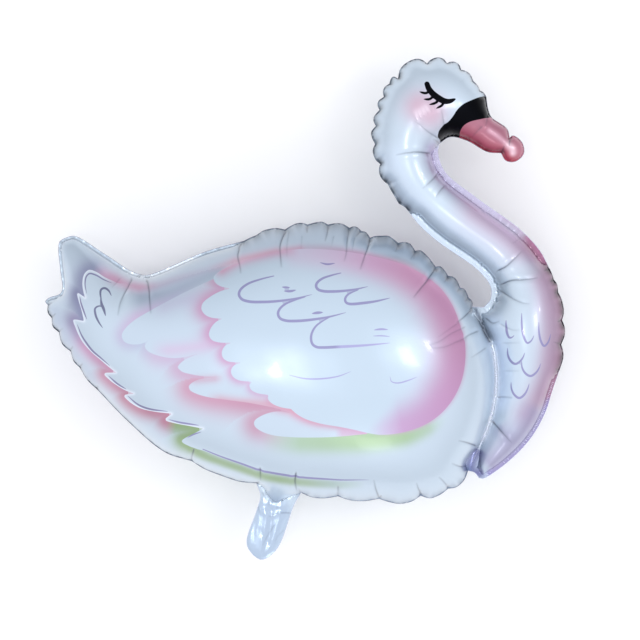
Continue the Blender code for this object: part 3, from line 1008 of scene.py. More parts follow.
STROKES = [
    # Curls over the wing
    curl(274, 276, 35, 26, 38, 7.5), curl(305, 297, 27, 24, 41, 8.5),
    curl(330, 317, 19, 30.5, 60, 4.5), curl(341, 273, 25, 18.5, 27, 5),
    curl(358, 290, 13, 14, 32, 6), Stroke([(282, 287), (286, 287.4), (290, 287.6)], 2),
    Stroke([(284, 291), (290, 291.2), (296, 290)], 2.4),
    Stroke([(312, 313.6), (317, 312.8), (323, 312.4)], 2.6),
    Stroke([(320, 262.5), (327, 264.2), (335, 263.3)], 1.9),
    Stroke([(374, 330), (381, 329.2), (388, 329.6)], 2),
    Stroke([(373, 336), (382, 335.8), (390, 336.6)], 1.2),
    Stroke([(289, 375), (305, 378.6), (322, 378.7), (338, 376.3), (351, 371.5)], 1.5),
    Stroke([(390, 376.5), (391.5, 381.5), (398, 383), (408, 380.5), (417, 377)], 1.3),
    # Curls in the tail
    Stroke([(102, 301), (100.8, 294), (101.5, 289.5), (105, 288), (109, 290.5), (112, 296)], 2.2),
    Stroke([(101, 298), (102, 304), (104, 309), (106, 316)], 2.8),
    Stroke([(103.5, 307), (99.5, 306), (95.5, 308.5), (96, 315), (99, 322), (103, 328)], 2.2),
    # Lines just inside the edges of the tail feathers
    Stroke([(113, 282), (105, 278.5), (97, 274), (90, 272.5), (86, 276), (84.5, 284),
        (86, 294)], 1.5, 0.1, 0.1, inset=1.2),
    Stroke([(79, 297), (80, 303), (83, 312), (86, 320)], 1.7, inset=1.5),
    Stroke([(76, 325), (80, 335), (85, 343), (92, 352), (100, 359),
        (109, 367)], 1.9, 0.1, 0.1, inset=1.8),
    Stroke([(108, 377), (117, 385), (126, 390.5)], 1.7, inset=1.5),
    Stroke([(127, 397), (137, 405.5), (148, 410), (168, 413)], 1.9, inset=1.6),
    Stroke([(169, 420.5), (180, 423.5), (199, 426.5)], 1.9, inset=1.2),
    Stroke([(187, 436), (194, 432.5), (201, 430.5)], 1.4, inset=-1.5),
    # The line under the tail
    Stroke([(203, 449), (220, 456), (240, 463), (260, 470), (280, 474), (300, 477),
        (320, 478.6), (340, 479.6), (369, 479.6)], 2.3, 0.4, 0.05),
    # Plumes on the breast
    plume(506, 320, 8, 18, 0.15), plume(521.5, 313, 12, 30, 0.25), plume(538.5, 322, 12, 24, 0.5),
    plume(507.5, 348, 17, 16, 0.7), plume(521.5, 361, 19, 15, 0.85), plume(511, 382, 18, 16, 0.9),
    # The closed eye: its lid here, and its lashes below
    Stroke([(426.8, 84.5), (428.5, 89), (432, 93.5), (438, 98.3), (444, 101.5), (449, 101.8),
        (454.5, 99.7)], 6.4, 0.8, 0.3, ink=True),
] + [Stroke(lash, 2.6, 0.9, 0.12, ink=True) for lash in (
    [(430, 91.5), (425.5, 93.6), (419.3, 92.2)],
    [(434, 96), (429.5, 99.4), (423.5, 99.6)],
    [(439.5, 98.5), (436, 102.8), (429, 105)],
    [(444.5, 100.5), (442, 105.4), (436, 108.8)],
)]

# Edges of the print that are crisp on one side, as runs that meet in notches and each start
# where the one before ends
TAIL_EDGE = [
    [(118, 283), (105, 277), (97, 272), (90, 270), (85, 274), (83, 283), (84, 292), (86, 298)],
    [(78, 293), (79, 300), (82, 310), (84.5, 321)],
    [(74, 320), (76, 328), (79, 335), (84, 343), (92, 352), (100, 359), (108, 366), (116, 372.5)],
    [(104.5, 373.5), (110, 380), (118, 386), (126, 390.5), (134, 393.5)],
    [(124.5, 395.5), (130, 402), (140, 408), (155, 411.5), (172, 413.5)],
    [(165.5, 419.5), (175, 423), (190, 426), (203, 428.5)],
    [(195, 433), (182, 441), (192, 447), (205, 451), (220, 457), (240, 464), (260, 471),
     (280, 475), (300, 478), (320, 479.6), (340, 480.6), (372, 480.6)],
]
TAIL_CLOSING = [(440, 476), (468, 440), (474, 400), (470, 362), (450, 338), (340, 270), (300, 253),
        (280, 252.5), (262, 256), (240, 261), (222, 266.5), (200, 272.5), (175, 280),
        (155, 286.5), (140, 287.8), (125, 283.8)]
# The rose line that runs from the tail along the back to the wing
BACK_LINE = [[(102, 268), (112, 276.5), (125, 283.5), (140, 287.2), (155, 286), (175, 279.6),
        (200, 272), (222, 266), (240, 260.5), (262, 255), (280, 251.3), (300, 249.5)]]
FEATHER_EDGE = [
    [(214, 279), (205, 283), (190, 290), (170, 300), (150, 311), (135, 320), (126, 328),
     (122, 335), (124, 341), (130, 344), (140, 344), (148, 341)],
    [(145, 346), (148, 351), (158, 355.5), (172, 358), (185, 357), (200, 353)],
    [(190, 357), (183, 361), (178, 367), (182, 371.5), (190, 374), (204, 376.3), (222, 376.8)],
    [(206, 378), (195, 381), (189, 386), (190, 390), (197, 394), (210, 397.5), (228, 400),
     (250, 403), (275, 408), (292, 413)],
    [(276, 411.5), (262, 415.5), (254.5, 421), (254.5, 425.5), (260, 430.5), (272, 435),
     (290, 437), (315, 437.5), (340, 436.5), (366, 434)],
]
FEATHER_CLOSING = [(400, 400), (300, 330)]
WING_EDGE = [
    [(300, 249), (280, 251.5), (260, 256), (240, 262), (222, 270), (214, 277), (215, 282),
     (220, 286), (230, 288.5)],
    [(220, 291.5), (210, 297), (203, 303), (201.5, 309), (205, 314.5), (211, 317.5), (222, 318.8)],
    [(216, 322), (211, 328), (209, 335), (212, 340), (219, 342.4), (232, 342.8)],
    [(226, 345), (222, 351), (222.5, 357), (227, 361), (240, 362.8)],
    [(234, 365.5), (231, 370.5), (232.5, 376), (238, 380), (252, 381.8)],
    [(249.5, 385), (251, 389.5), (257, 393), (268.5, 395)],
    [(268, 399), (272, 403.5), (281, 407.3), (291, 409)],
    [(296, 413.5), (305, 418.8), (320, 423.5), (340, 427), (355, 430), (367, 433)],
    [(380, 434.8), (400, 433), (420, 427), (435, 418.5), (448, 406), (458, 390), (464, 370),
     (465, 345), (460, 325), (452, 305), (440, 288), (420, 273), (400, 263.5), (370, 256),
     (340, 251), (318, 249), (300, 249)],
]
# Its tips, and its soft right edge, which is the last run
WING_LEFT, WING_RIGHT = WING_EDGE[:-1], [WING_EDGE[-2][-1:] + WING_EDGE[-1]]
MASK_EDGE = [
    [(494, 94), (486, 96.5), (478, 98), (470, 101), (463, 104.5), (457, 110), (453, 116),
     (449, 121), (444, 125), (440, 129), (437.5, 134), (437.5, 139), (441, 142.5)],
    [(446, 140), (452, 138.5), (459, 139.5)],
    [(459.5, 133), (461.5, 128.5), (464.5, 125), (470, 122), (478, 120), (486, 118.5),
     (496, 117.5)],
    [(500, 106), (494, 94)],
]
BILL_EDGE = [
    [(496, 116), (478, 119), (466, 123), (459, 133), (457, 140)],
    [(470, 160), (500, 175), (540, 170), (540, 130), (510, 110), (496, 116)],
]


@dataclass(frozen=True)
class Glow:
    """Soft colour along a line, strongest on it, that changes with the way along.

    A tint is a place on the line, whose runs are numbered on from nought, then the colour there,
    how strong it is, and how far it spreads, in squares.
    """

    runs: Runs
    tints: list[tuple[float, Colour, float, float]]
    power: float = 1.8


def band(path: Points, colour: Colour, strength: float, reach: float, power: float = 1.8,
         ends: float = 0.12) -> Glow:
    """Lays one soft colour along a line, faded towards both its ends.

    Args:
        path: the line, in squares.
        colour: its colour.
        strength: how much of it there is on the line.
        reach: how far it spreads, in squares.
        power: how suddenly it stops there.
        ends: the share of the line that each fade takes.

    Returns:
        the glow.
    """
    outermost = 0 if ends else strength
    return Glow([path], [
        (0, colour, outermost, reach), (ends, colour, strength, reach),
        (1 - ends, colour, strength, reach), (1, colour, outermost, reach),
    ], power)


PEARL = (193, 208, 222)
WING_WHITE = (188, 205, 220)
FEATHER_WHITE = (191, 206, 221)
PINK = (200, 146, 184)
ROSE = (194, 142, 168)
LILAC = (126, 128, 164)
RED_ROSE = (184, 128, 150)
GREEN = (160, 188, 152)
DEEP_GREEN = (140, 166, 122)
SLATE = (150, 166, 184)

BACK_TINTS = [
    (0, (180, 130, 162), 0, 5), (0.08, (180, 130, 162), 0.7, 6),
    (0.22, (178, 126, 156), 0.8, 5.5), (0.32, (160, 146, 172), 0.6, 4.5),
    (0.55, (160, 154, 178), 0.45, 4), (0.68, (192, 140, 162), 0.7, 5),
    (0.85, (196, 142, 166), 0.75, 4.5), (1, (196, 150, 176), 0.7, 4),
]

# Outside the wing's soft right edge
OUTSIDE_WING = Glow(WING_RIGHT, [
    (0, PINK, 0, 2), (0.12, (196, 150, 196), 0.4, 2), (0.3, (192, 142, 180), 0.45, 2.2),
    (0.6, (188, 136, 172), 0.5, 2.2), (0.74, (190, 136, 170), 0.8, 2.8),
    (0.85, (188, 144, 178), 0.8, 4), (0.92, (186, 150, 178), 0.6, 4.5),
    (1, (186, 150, 178), 0.4, 4),
], 1.8)

# What lies outside the tail feathers and the wing: margins, neck and head
MARGIN_GLOWS = [
    # Slate along the top of the body and tail: partly print, partly painted shade
    Glow([[(60, 246), (105, 262), (146, 283), (200, 262), (244, 248), (300, 234), (350, 236),
        (400, 252), (440, 276), (468, 300)]],
        [(0, SLATE, 0.3, 14), (0.25, SLATE, 0.5, 16), (0.4, SLATE, 0.65, 16),
        (0.6, SLATE, 0.75, 16), (0.75, SLATE, 0.65, 16), (0.9, SLATE, 0.4, 14),
        (1, SLATE, 0.3, 14)], 2.5),
    band([(50, 306), (58, 330), (70, 352), (84, 374), (97, 389)], (166, 180, 202), 0.6, 12, 3, 0.08),
    # Painted light over the shaded left side of the neck
    band([(390, 138), (393, 165), (402, 194), (430, 216), (460, 240), (484, 262), (500, 290)],
        (210, 225, 243), 0.7, 15, 2.5, 0.1),
    # Painted light over the steep side of the neck next to the weld
    band([(490, 308), (497, 332), (504, 360), (504, 390), (498, 415)], (214, 228, 246), 0.8, 9, 2.5,
        0.1),
    Glow(TAIL_EDGE, [
        (0, RED_ROSE, 0.7, 5), (0.25, PINK, 0.65, 7), (0.45, LILAC, 0.75, 11),
        (1, LILAC, 0.9, 12), (2, LILAC, 0.9, 12), (2.3, (168, 150, 186), 0.9, 10),
        (2.5, PINK, 0.85, 9), (3, ROSE, 0.95, 10), (4, RED_ROSE, 0.95, 10),
        (5.2, RED_ROSE, 1, 11), (5.4, DEEP_GREEN, 1, 13), (6, DEEP_GREEN, 1, 13),
        (6.15, DEEP_GREEN, 0.95, 9), (6.3, GREEN, 0, 8), (7, GREEN, 0, 6),
    ], 2),
    Glow([[(182, 440), (200, 453.5), (220, 461.5), (240, 468), (262, 475.5), (280, 479.3), (300, 482),
        (325, 483.8), (345, 484.3), (366, 484)]],
        [(0, DEEP_GREEN, 0.9, 5), (0.55, DEEP_GREEN, 0.9, 5), (0.7, DEEP_GREEN, 0.75, 5),
        (0.84, (150, 174, 160), 0.65, 5), (1, GREEN, 0, 4)], 2.6),
    Glow(BACK_LINE, BACK_TINTS, 2),
    # The weld: painted shade in the fold at its top, then a painted highlight along it
    band([(474, 306), (481, 321), (486, 333), (491, 343)], (52, 64, 88), 0.85, 2.6, 2, 0.10),
    band([(488, 338), (495, 362), (496.5, 382), (494.6, 400), (490.5, 418), (485, 434), (480, 445)],
        (236, 243, 253), 0.95, 3.8, 3, 0.08),
    # The throat's seam, and the front of the neck
    band([(437, 141), (431, 152), (434, 167), (446, 183.5), (462, 197), (482, 212.5), (505, 230),
        (527, 249), (540, 266)], (158, 140, 182), 0.85, 7, 1.5, 0.06),
    band([(450, 196), (478, 218), (505, 238), (522, 254), (536, 272)], (200, 164, 192), 0.55, 14,
        1.7, 0.25),
    # The front edge's pink print, with painted shade where the neck turns away
    band([(516, 229), (536, 249), (549, 270), (558, 295), (562, 325), (560, 355), (552, 388),
        (540, 415)], (146, 98, 124), 1, 13, 2.2, 0.1),
    # More pink print and painted shade, on the side of the neck that turns away
    band([(535, 262), (546, 290), (551, 330), (547, 370), (536, 400), (518, 432)], (174, 142, 170),
        0.75, 14, 2.2, 0.1),
    band([(553, 396), (541, 422), (526, 443), (506, 462), (484, 477)], (132, 122, 184), 0.9, 4.2, 2.4,
        0.06),
    band([(540, 405), (520, 436), (500, 456), (484, 470)], (158, 150, 182), 0.8, 15, 2, 0.1),
    # Painted shade in a crease at the foot of the neck
    band([(496, 424), (506, 436), (510, 446)], (150, 148, 178), 0.6, 9, 2, 0.2),
    # Painted shade, blue violet, in the crumpled lower web and the weld's foot
    band([(479, 448), (474, 457), (469, 467), (467, 473)], (104, 108, 156), 0.9, 7.5, 2.2, 0.1),
    band([(466, 471), (474, 474), (484, 471)], (96, 94, 150), 0.9, 7, 2, 0.1),
    OUTSIDE_WING,
    # The flat rim: lilac at the throat and rose lower down, painted slate shade round the tail
    band([(550, 268), (544, 257), (535, 245), (525, 234)], (158, 104, 138), 0.8, 3.5, 3, 0.1),
    band([(526, 233), (512, 222), (498, 212)], (178, 160, 186), 0.8, 5, 3, 0.1),
    band([(508, 219), (476, 196), (446, 171), (438, 155), (438, 144)], (192, 182, 212), 0.7, 6, 3,
        0.08),
    band([(49, 303), (61, 290), (58.6, 248), (75, 236.3), (105, 254.5), (146, 275.3), (204, 252.4),
        (244, 241)], (184, 198, 212), 0.6, 5, 3, 0.02),
    # Painted glints along the crinkled rim at the top of the tail
    band([(122, 266), (132, 272.5), (146, 276.5), (160, 273), (180, 264), (200, 255)], (226, 234, 242),
        0.8, 2.6, 3, 0.1),
    # The filler tail
    band([(272, 514), (266, 530), (256, 554)], (168, 185, 206), 0.95, 20, 6, 0),
    # The blush of the cheek, with a painted highlight on it
    band([(420, 107), (430, 112)], (202, 158, 178), 0.75, 17, 2.4, 0),
    band([(413, 116), (421, 112), (430, 106)], (234, 218, 232), 0.6, 4.5, 2.2, 0.2),
]


@dataclass(frozen=True)
class Tuck:
    """Painted shade along one stretch of the edge, where the film is tucked in."""

    stretch: str
    colour: Colour
    strength: float
    reach: float


# Painted shade along the tucked edges; reaches in squares
TUCKS = [
    Tuck("back", (78, 92, 108), 0.8, 7), Tuck("head", (36, 48, 60), 0.95, 2.7),
    Tuck("tail", (120, 136, 154), 0.2, 2), Tuck("breast", (26, 10, 20), 1, 6),
    Tuck("belly", (92, 112, 140), 0.8, 5), Tuck("tail_edge", (40, 52, 62), 1, 2.8),
    Tuck("flank", (56, 70, 84), 0.9, 2.6), Tuck("under_tail", (56, 70, 84), 0.8, 2.6),
    Tuck("bill_under", (96, 30, 42), 0.8, 2.6), Tuck("bill_top", (120, 60, 72), 0.5, 1.8),
    Tuck("bill_nail", (140, 70, 86), 0.5, 1.8),
]
# What lies inside the tail feathers: pale edges, the printed tints round the long feathers
BODY_GLOWS = [
    # Slate under the back line: partly print, partly painted shade
    band([(128, 296), (150, 294), (175, 284), (205, 272), (232, 262)], (156, 170, 190), 0.85, 13, 2.6,
        0.12),
    Glow(BACK_LINE, BACK_TINTS, 2),
    Glow(FEATHER_EDGE, [
        (0, (170, 180, 200), 0, 8), (0.3, (170, 168, 200), 0.6, 6),
        (0.6, (196, 168, 204), 0.75, 8), (1, (170, 182, 206), 0.7, 7),
        (1.3, (194, 166, 198), 0.7, 11), (2, (190, 162, 196), 0.75, 12),
        (3, ROSE, 0.85, 13), (3.4, ROSE, 0.9, 15), (3.7, (188, 136, 162), 0.95, 17),
        (4, (188, 136, 162), 0.9, 14), (4.3, (188, 136, 162), 0.8, 13), (4.55, ROSE, 0, 8),
        (5, ROSE, 0, 8),
    ], 2),
    Glow([[(262, 439), (285, 440), (320, 440.5), (355, 440), (385, 438.5), (410, 434), (430, 425),
        (446, 412)]],
        [(0, GREEN, 0, 12), (0.2, GREEN, 0.8, 13), (0.5, GREEN, 1, 13),
        (0.75, GREEN, 1, 11), (0.88, GREEN, 0.7, 9), (1, (196, 220, 220), 0, 7)], 2.8),
    OUTSIDE_WING,
    Glow(TAIL_EDGE[:6], [(0, (228, 234, 246), 0, 1.6), (0.3, (232, 238, 250), 0.8, 1.6),
        (6, (232, 238, 250), 0.8, 1.6)], 2),
]
# What lies on the long feathers: the shade round the short ones, and between the long ones
FEATHER_GLOWS = [
    Glow(WING_LEFT, [
        (0, PINK, 0, 8), (0.65, ROSE, 0.3, 8), (0.9, (190, 142, 178), 0.85, 9),
        (1.5, (190, 142, 178), 0.85, 9), (2, (190, 142, 180), 0.9, 9),
        (3, (192, 144, 182), 0.85, 7), (4, (192, 146, 184), 0.85, 5.5),
        (5, (192, 150, 188), 0.75, 4.5), (6, (190, 150, 186), 0.7, 5),
        (7, (206, 150, 180), 0.8, 5), (7.6, ROSE, 0.8, 3.5), (8, PINK, 0.6, 3),
    ], 1.7),
    band([(150, 349), (170, 350), (195, 347), (220, 344)], (206, 176, 208), 0.55, 7, 1.8, 0.25),
    band([(150, 312), (175, 303), (205, 296)], (184, 176, 206), 0.4, 8, 1.8, 0.25),
    band([(186, 381), (205, 379.5), (225, 378)], ROSE, 0.55, 4, 1.8, 0.25),
    band([(206, 398), (235, 402), (262, 404), (292, 410), (325, 424)], (202, 146, 166), 0.7, 5, 1.8,
        0.12),
    band([(335, 432), (355, 434.5), (372, 434)], PINK, 0.55, 6, 1.8, 0.2),
]
# What lies on the bill: a darker red underside, painted highlights on ridge and nail
BILL_GLOWS = [
    band([(456, 139), (468, 144), (486, 154), (500, 158), (514, 164)], (184, 58, 76), 1, 10, 1.8, 0),
    band([(486, 128.5), (496, 135), (507, 145)], (206, 160, 178), 0.7, 2.8, 2.4, 0.15),
    band([(508, 145), (512, 149.5), (513, 153)], (236, 206, 218), 0.8, 3.6, 2.2, 0),
    band([(516, 139), (522, 146), (521, 154)], (196, 132, 150), 0.6, 5, 1.8, 0),
]
# How the drawn lines change: darker in the tail, paler low on the wing
LINE_COLOUR = (136, 132, 178)
BILL_PINK = (170, 108, 128)
LINE_GLOWS = [
    band([(103, 292), (103, 308), (100, 322)], (84, 88, 122), 0.9, 14, 3, 0),
    band([(86, 276), (82, 300), (84, 330), (110, 366), (150, 410)], (112, 106, 146), 0.8, 10, 3, 0),
    band([(335, 346), (360, 348), (395, 340)], (168, 164, 212), 0.8, 12, 2.5, 0.1),
    band([(300, 378), (350, 374), (410, 380)], (164, 160, 208), 0.8, 14, 2.5, 0),
    band([(372, 333), (392, 333)], (156, 152, 200), 0.8, 9, 2.5, 0),
]
# What lies on the wing itself
WING_GLOWS = [
    band([(214, 276), (240, 262), (260, 256), (280, 252), (300, 250)], (196, 140, 170), 0.75, 5, 1.6,
        0.1),
    Glow(WING_RIGHT, [
        (0, (192, 152, 192), 0, 10), (0.05, (190, 148, 194), 0.5, 18),
        (0.10, (188, 142, 188), 0.85, 26), (0.25, (186, 138, 180), 0.95, 33),
        (0.40, (184, 136, 172), 1, 34), (0.58, (190, 138, 174), 1, 33),
        (0.70, (202, 148, 184), 0.95, 27), (0.80, (206, 160, 196), 0.9, 22),
        (0.90, (206, 176, 206), 0.75, 20), (1, (204, 184, 210), 0.6, 17),
    ], 3.2),
]
# Each layer of the print: its ground, and what lies on it
PRINTS = {
    "margin": (PEARL, MARGIN_GLOWS), "body": (PEARL, BODY_GLOWS),
    "feather": (FEATHER_WHITE, FEATHER_GLOWS), "wing": (WING_WHITE, WING_GLOWS),
    "bill": (BILL_PINK, BILL_GLOWS), "line": (LINE_COLOUR, LINE_GLOWS),
}


class Print:
    """The printed pattern, read at the pattern's points as colours and signed distances."""

    REACH = 0.012
    GLOW_REACHES = 2.2
    TUCK_REACHES = 3
    TUCK_WAVE, TUCK_SEED = 0.022, 71

    def __init__(self, paper: Paper) -> None:
        """Lays the drawing's lines on the swollen foil.

        Args:
            paper: the paper that they are drawn on.
        """
        self.paper = paper
        self.strokes = []
        for stroke in STROKES:
            line, _ = self.joined([stroke.path])
            shift = stroke.inset * paper.square
            self.strokes.append((stroke, line + shift * line_normals(line, is_loop=False)))
        self.edges = {
            "tail_edge": (self.joined(TAIL_EDGE)[0], self.joined([TAIL_CLOSING])[0]),
            "feather_edge": (self.joined(FEATHER_EDGE)[0], self.joined([FEATHER_CLOSING])[0]),
            "wing_edge": (self.joined(WING_EDGE)[0], None),
            "mask_edge": (self.joined(MASK_EDGE)[0], None),
            "bill_edge": (self.joined(BILL_EDGE)[0], None),
        }

    def joined(self, runs: Runs) -> tuple[Array, Array]:
        """Joins runs into one line on the swollen foil.

        Args:
            runs: smooth runs in squares, each from the last point of the one before.

        Returns:
            the line's points, in metres, and how far along it each run starts and the last ends.
        """
        flat, last = [], []
        for run in runs:
            flat.append(resampled(spline(self.paper.flat(last + run)), DRAWN_STEP))
            last = run[-1:]
        line = self.paper.raised(np.vstack(flat))
        corners = np.cumsum([0] + [len(part) for part in flat])
        return line, travelled(line)[np.minimum(corners, len(line) - 1)]

    def rows(self) -> list[Array]:
        """Lines of mesh points along the strokes and the crisp edges.

        Returns:
            the points of each line.
        """
        found = []
        for stroke, line in self.strokes:
            leftward = line_normals(line, is_loop=False)
            half = self.half_width(stroke, np.linspace(0, 1, len(line)))[:, None]
            found += [line, line + leftward * half, line - leftward * half]
        return found + [line for line, _ in self.edges.values()]

    def half_width(self, stroke: Stroke, share: Array) -> Array:
        """Tapers a stroke.

        Args:
            stroke: the stroke.
            share: shares of the way along it.

        Returns:
            half its width at each of them, in metres.
        """
        ends = stroke.start + (stroke.end - stroke.start) * share
        bulge = np.sin(math.pi * np.clip(share, 0, 1)) ** 0.7
        return stroke.width / 2 * self.paper.square * (ends + (1 - ends) * bulge)

    def drawn(self, points: Array, ink: bool) -> Array:
        """Finds what the strokes cover.

        Args:
            points: x and y of each point.
            ink: whether to read the black strokes or the violet ones.

        Returns:
            how deep inside a stroke each point is, in metres, below nought outside.
        """
        depth = np.full(len(points), -self.REACH)
        for stroke, line in self.strokes:
            if stroke.ink == ink:
                trace = Trace(line)
                distance, along = trace.nearest(points, self.REACH)
                depth = np.maximum(depth, self.half_width(stroke, along / trace.length) - distance)
        return depth

    def signed(self, points: Array, name: str) -> Array:
        """Measures from a crisp edge.

        Args:
            points: x and y of each point.
            name: the edge.

        Returns:
            how deep inside it each point is, in metres, below nought outside.
        """
        line, closing = self.edges[name]
        distance, _ = Trace(line).nearest(points, self.REACH)
        loop = line if closing is None else np.vstack([line, closing])
        return np.where(inside(points, loop), distance, -distance)

    def tucked(self, points: Array, outline: Outline) -> tuple[Array, Array]:
        """Finds the painted shade along the tucked parts of the edge, and its colour.

        Args:
            points: x and y of each point.
            outline: the foil's edge.

        Returns:
            how strong the painted shade is at each point, up to 1, and its colour there.
        """
        share, colour = np.zeros(len(points)), np.tile(linear(TUCKS[0].colour), (len(points), 1))
        for tuck in TUCKS:
            reach = tuck.reach * outline.square
            line = outline.edge[outline.rows[tuck.stretch]]
            distance, along = Trace(line).nearest(points, self.TUCK_REACHES * reach)
            uneven = np.clip(0.85 + 0.3 * waves(along, self.TUCK_WAVE, self.TUCK_SEED), 0.45, 1)
            amount = tuck.strength * uneven * np.exp(-(distance / reach) ** 1.6)
            amount = np.where(distance < self.TUCK_REACHES * reach, amount, 0)
            stronger = amount > share
            share = np.where(stronger, amount, share)
            colour[stronger] = linear(tuck.colour)
        return share, colour

    def painted(self, points: Array, ground: Colour, glows: list[Glow]) -> Array:
        """Lays soft colours over an even ground.

        Args:
            points: x and y of each point.
            ground: the colour under the glows.
            glows: the soft colours, the lowest first.

        Returns:
            linear red, green and blue for each point.
        """
        colour = np.tile(linear(ground), (len(points), 1))
        for glow in glows:
            line, corners = self.joined(glow.runs)
            spots, colours, strengths, reaches = zip(*glow.tints)
            widest = self.GLOW_REACHES * max(reaches) * self.paper.square
            distance, along = Trace(line).nearest(points, widest)
            at = np.interp(along, corners, np.arange(len(corners)))
            strength = np.interp(at, spots, strengths)
            reach = np.interp(at, spots, reaches) * self.paper.square
            hues = np.array([linear(shown) for shown in colours])
            hue = np.column_stack([np.interp(at, spots, hues[:, k]) for k in range(3)])
            amount = strength * np.exp(-(distance / reach) ** glow.power)
            colour += (hue - colour) * (amount * (distance < widest))[:, None]
        return colour


class NodeTree:
    """Adds nodes to a material's or a shape's tree and feeds their sockets."""

    def __init__(self, tree: bpy.types.NodeTree) -> None:
        """Takes the tree that the nodes go in."""
        self.tree = tree

    def node(self, kind: str, settings: Named | None = None, inputs: Feeds | None = None) -> Node:
        """Adds one node.

        Args:
            kind: the node's type.
            settings: its own settings, which are set first.
            inputs: the values or links of its sockets, by name or number.

        Returns:
            the node.
        """
        made = self.tree.nodes.new(kind)
        for name, value in (settings or {}).items():
            setattr(made, name, value)
        for key, value in (inputs or {}).items():
            sockets = made.inputs
            self.feed(sockets[key] if isinstance(key, int) else self.in_use(sockets, key), value)
        return made

    @staticmethod
    def in_use(sockets: object, name: str = "") -> Socket:
        """The first socket of a node that is in use, or the one of that name."""
        return next(socket for socket in sockets if socket.enabled and name in ("", socket.name))

    def feed(self, socket: Socket, value: object) -> None:
        """Links a socket to a value of the nodes, or sets it.

        Args:
            socket: the socket.
            value: a number, a colour, an output socket or a Value.
        """
        value = getattr(value, "socket", value)
        if isinstance(value, Socket):
            self.tree.links.new(value, socket)
        else:
            socket.default_value = value


class Value:
    """A number in a material's nodes, so that shader maths reads as an expression."""

    def __init__(self, tree: "MaterialTree", socket: Socket) -> None:
        """Wraps one output socket."""
        self.tree, self.socket = tree, socket

    def combined(self, operation: str, first: "Value | float", second: "Value | float") -> "Value":
        """The result of one Math node."""
        node = self.tree.node("ShaderNodeMath", {"operation": operation}, {0: first, 1: second})
        return Value(self.tree, node.outputs[0])

    def __add__(self, other: "Value | float") -> "Value":
        """This and another number together."""
        return self.combined("ADD", self, other)

    __radd__ = __add__

    def __sub__(self, other: "Value | float") -> "Value":
        """This less another number."""
        return self.combined("SUBTRACT", self, other)

    def __rsub__(self, other: float) -> "Value":
        """Another number less this."""
        return self.combined("SUBTRACT", other, self)

    def __mul__(self, other: "Value | float") -> "Value":
        """This times another number."""
        return self.combined("MULTIPLY", self, other)

    __rmul__ = __mul__

    def risen(self, low: float, high: float) -> "Value":
        """Nought below the low value and one above the high one, with a smooth rise between."""
        node = self.tree.node("ShaderNodeMapRange", {"interpolation_type": "SMOOTHSTEP"},
                              {"Value": self, "From Min": low, "From Max": high})
        return Value(self.tree, node.outputs[0])

    def crisp(self, softness: float) -> "Value":
        """Nought below nought and one above it, over a narrow soft step."""
        return self.risen(-softness, softness)


class MaterialTree(NodeTree):
    """Builds the nodes of one material, or of the room's light."""

    def __init__(self, name: str, owner: bpy.types.World | None = None) -> None:
        """Starts on a new material with its own shader, or on what is given.

        Args:
            name: the material's name.
            owner: what to build on instead of a new material.
        """
        self.material = owner or bpy.data.materials.new(name)
        self.material.use_nodes = True
        super().__init__(self.material.node_tree)
        self.shader = self.tree.nodes.get("Principled BSDF")

    def set(self, **values: object) -> None:
        """Feeds sockets of the shader, whose names are given with underscores."""
        for name, value in values.items():
            self.feed(self.shader.inputs[name.replace("_", " ")], value)

    def number(self, attribute: str) -> Value:
        """A number that the mesh holds at its points."""
        node = self.node("ShaderNodeAttribute", {"attribute_name": attribute})
        return Value(self, node.outputs["Fac"])

    def colour(self, attribute: str) -> Socket:
        """A colour that the mesh holds at its points."""
        return self.node("ShaderNodeAttribute", {"attribute_name": attribute}).outputs["Color"]

    def mixed(self, share: Value | float, first: object, second: object) -> Socket:
        """The first colour, with the second over it by that share."""
        node = self.node("ShaderNodeMix", {"data_type": "RGBA", "clamp_factor": True},
                         {"Factor": share, "A": first, "B": second})
        return self.in_use(node.outputs)

    def noise(self, scale: float, detail: float = 2.0) -> Value:
        """Reads noise over the object's own coordinates.

        Args:
            scale: how fine it is.
            detail: how many finer layers lie on it.

        Returns:
            its height, from nought to one.
        """
        place = self.node("ShaderNodeTexCoord").outputs["Object"]
        node = self.node("ShaderNodeTexNoise", {}, {"Vector": place, "Scale": scale, "Detail": detail})
        return Value(self, node.outputs[0])

    def bumped(self, height: Value, depth: float) -> None:
        """Roughens the surface by a height of that depth, in metres."""
        bump = self.node("ShaderNodeBump", {}, {"Height": height, "Distance": depth, "Strength": 1.0})
        self.feed(self.shader.inputs["Normal"], bump.outputs["Normal"])


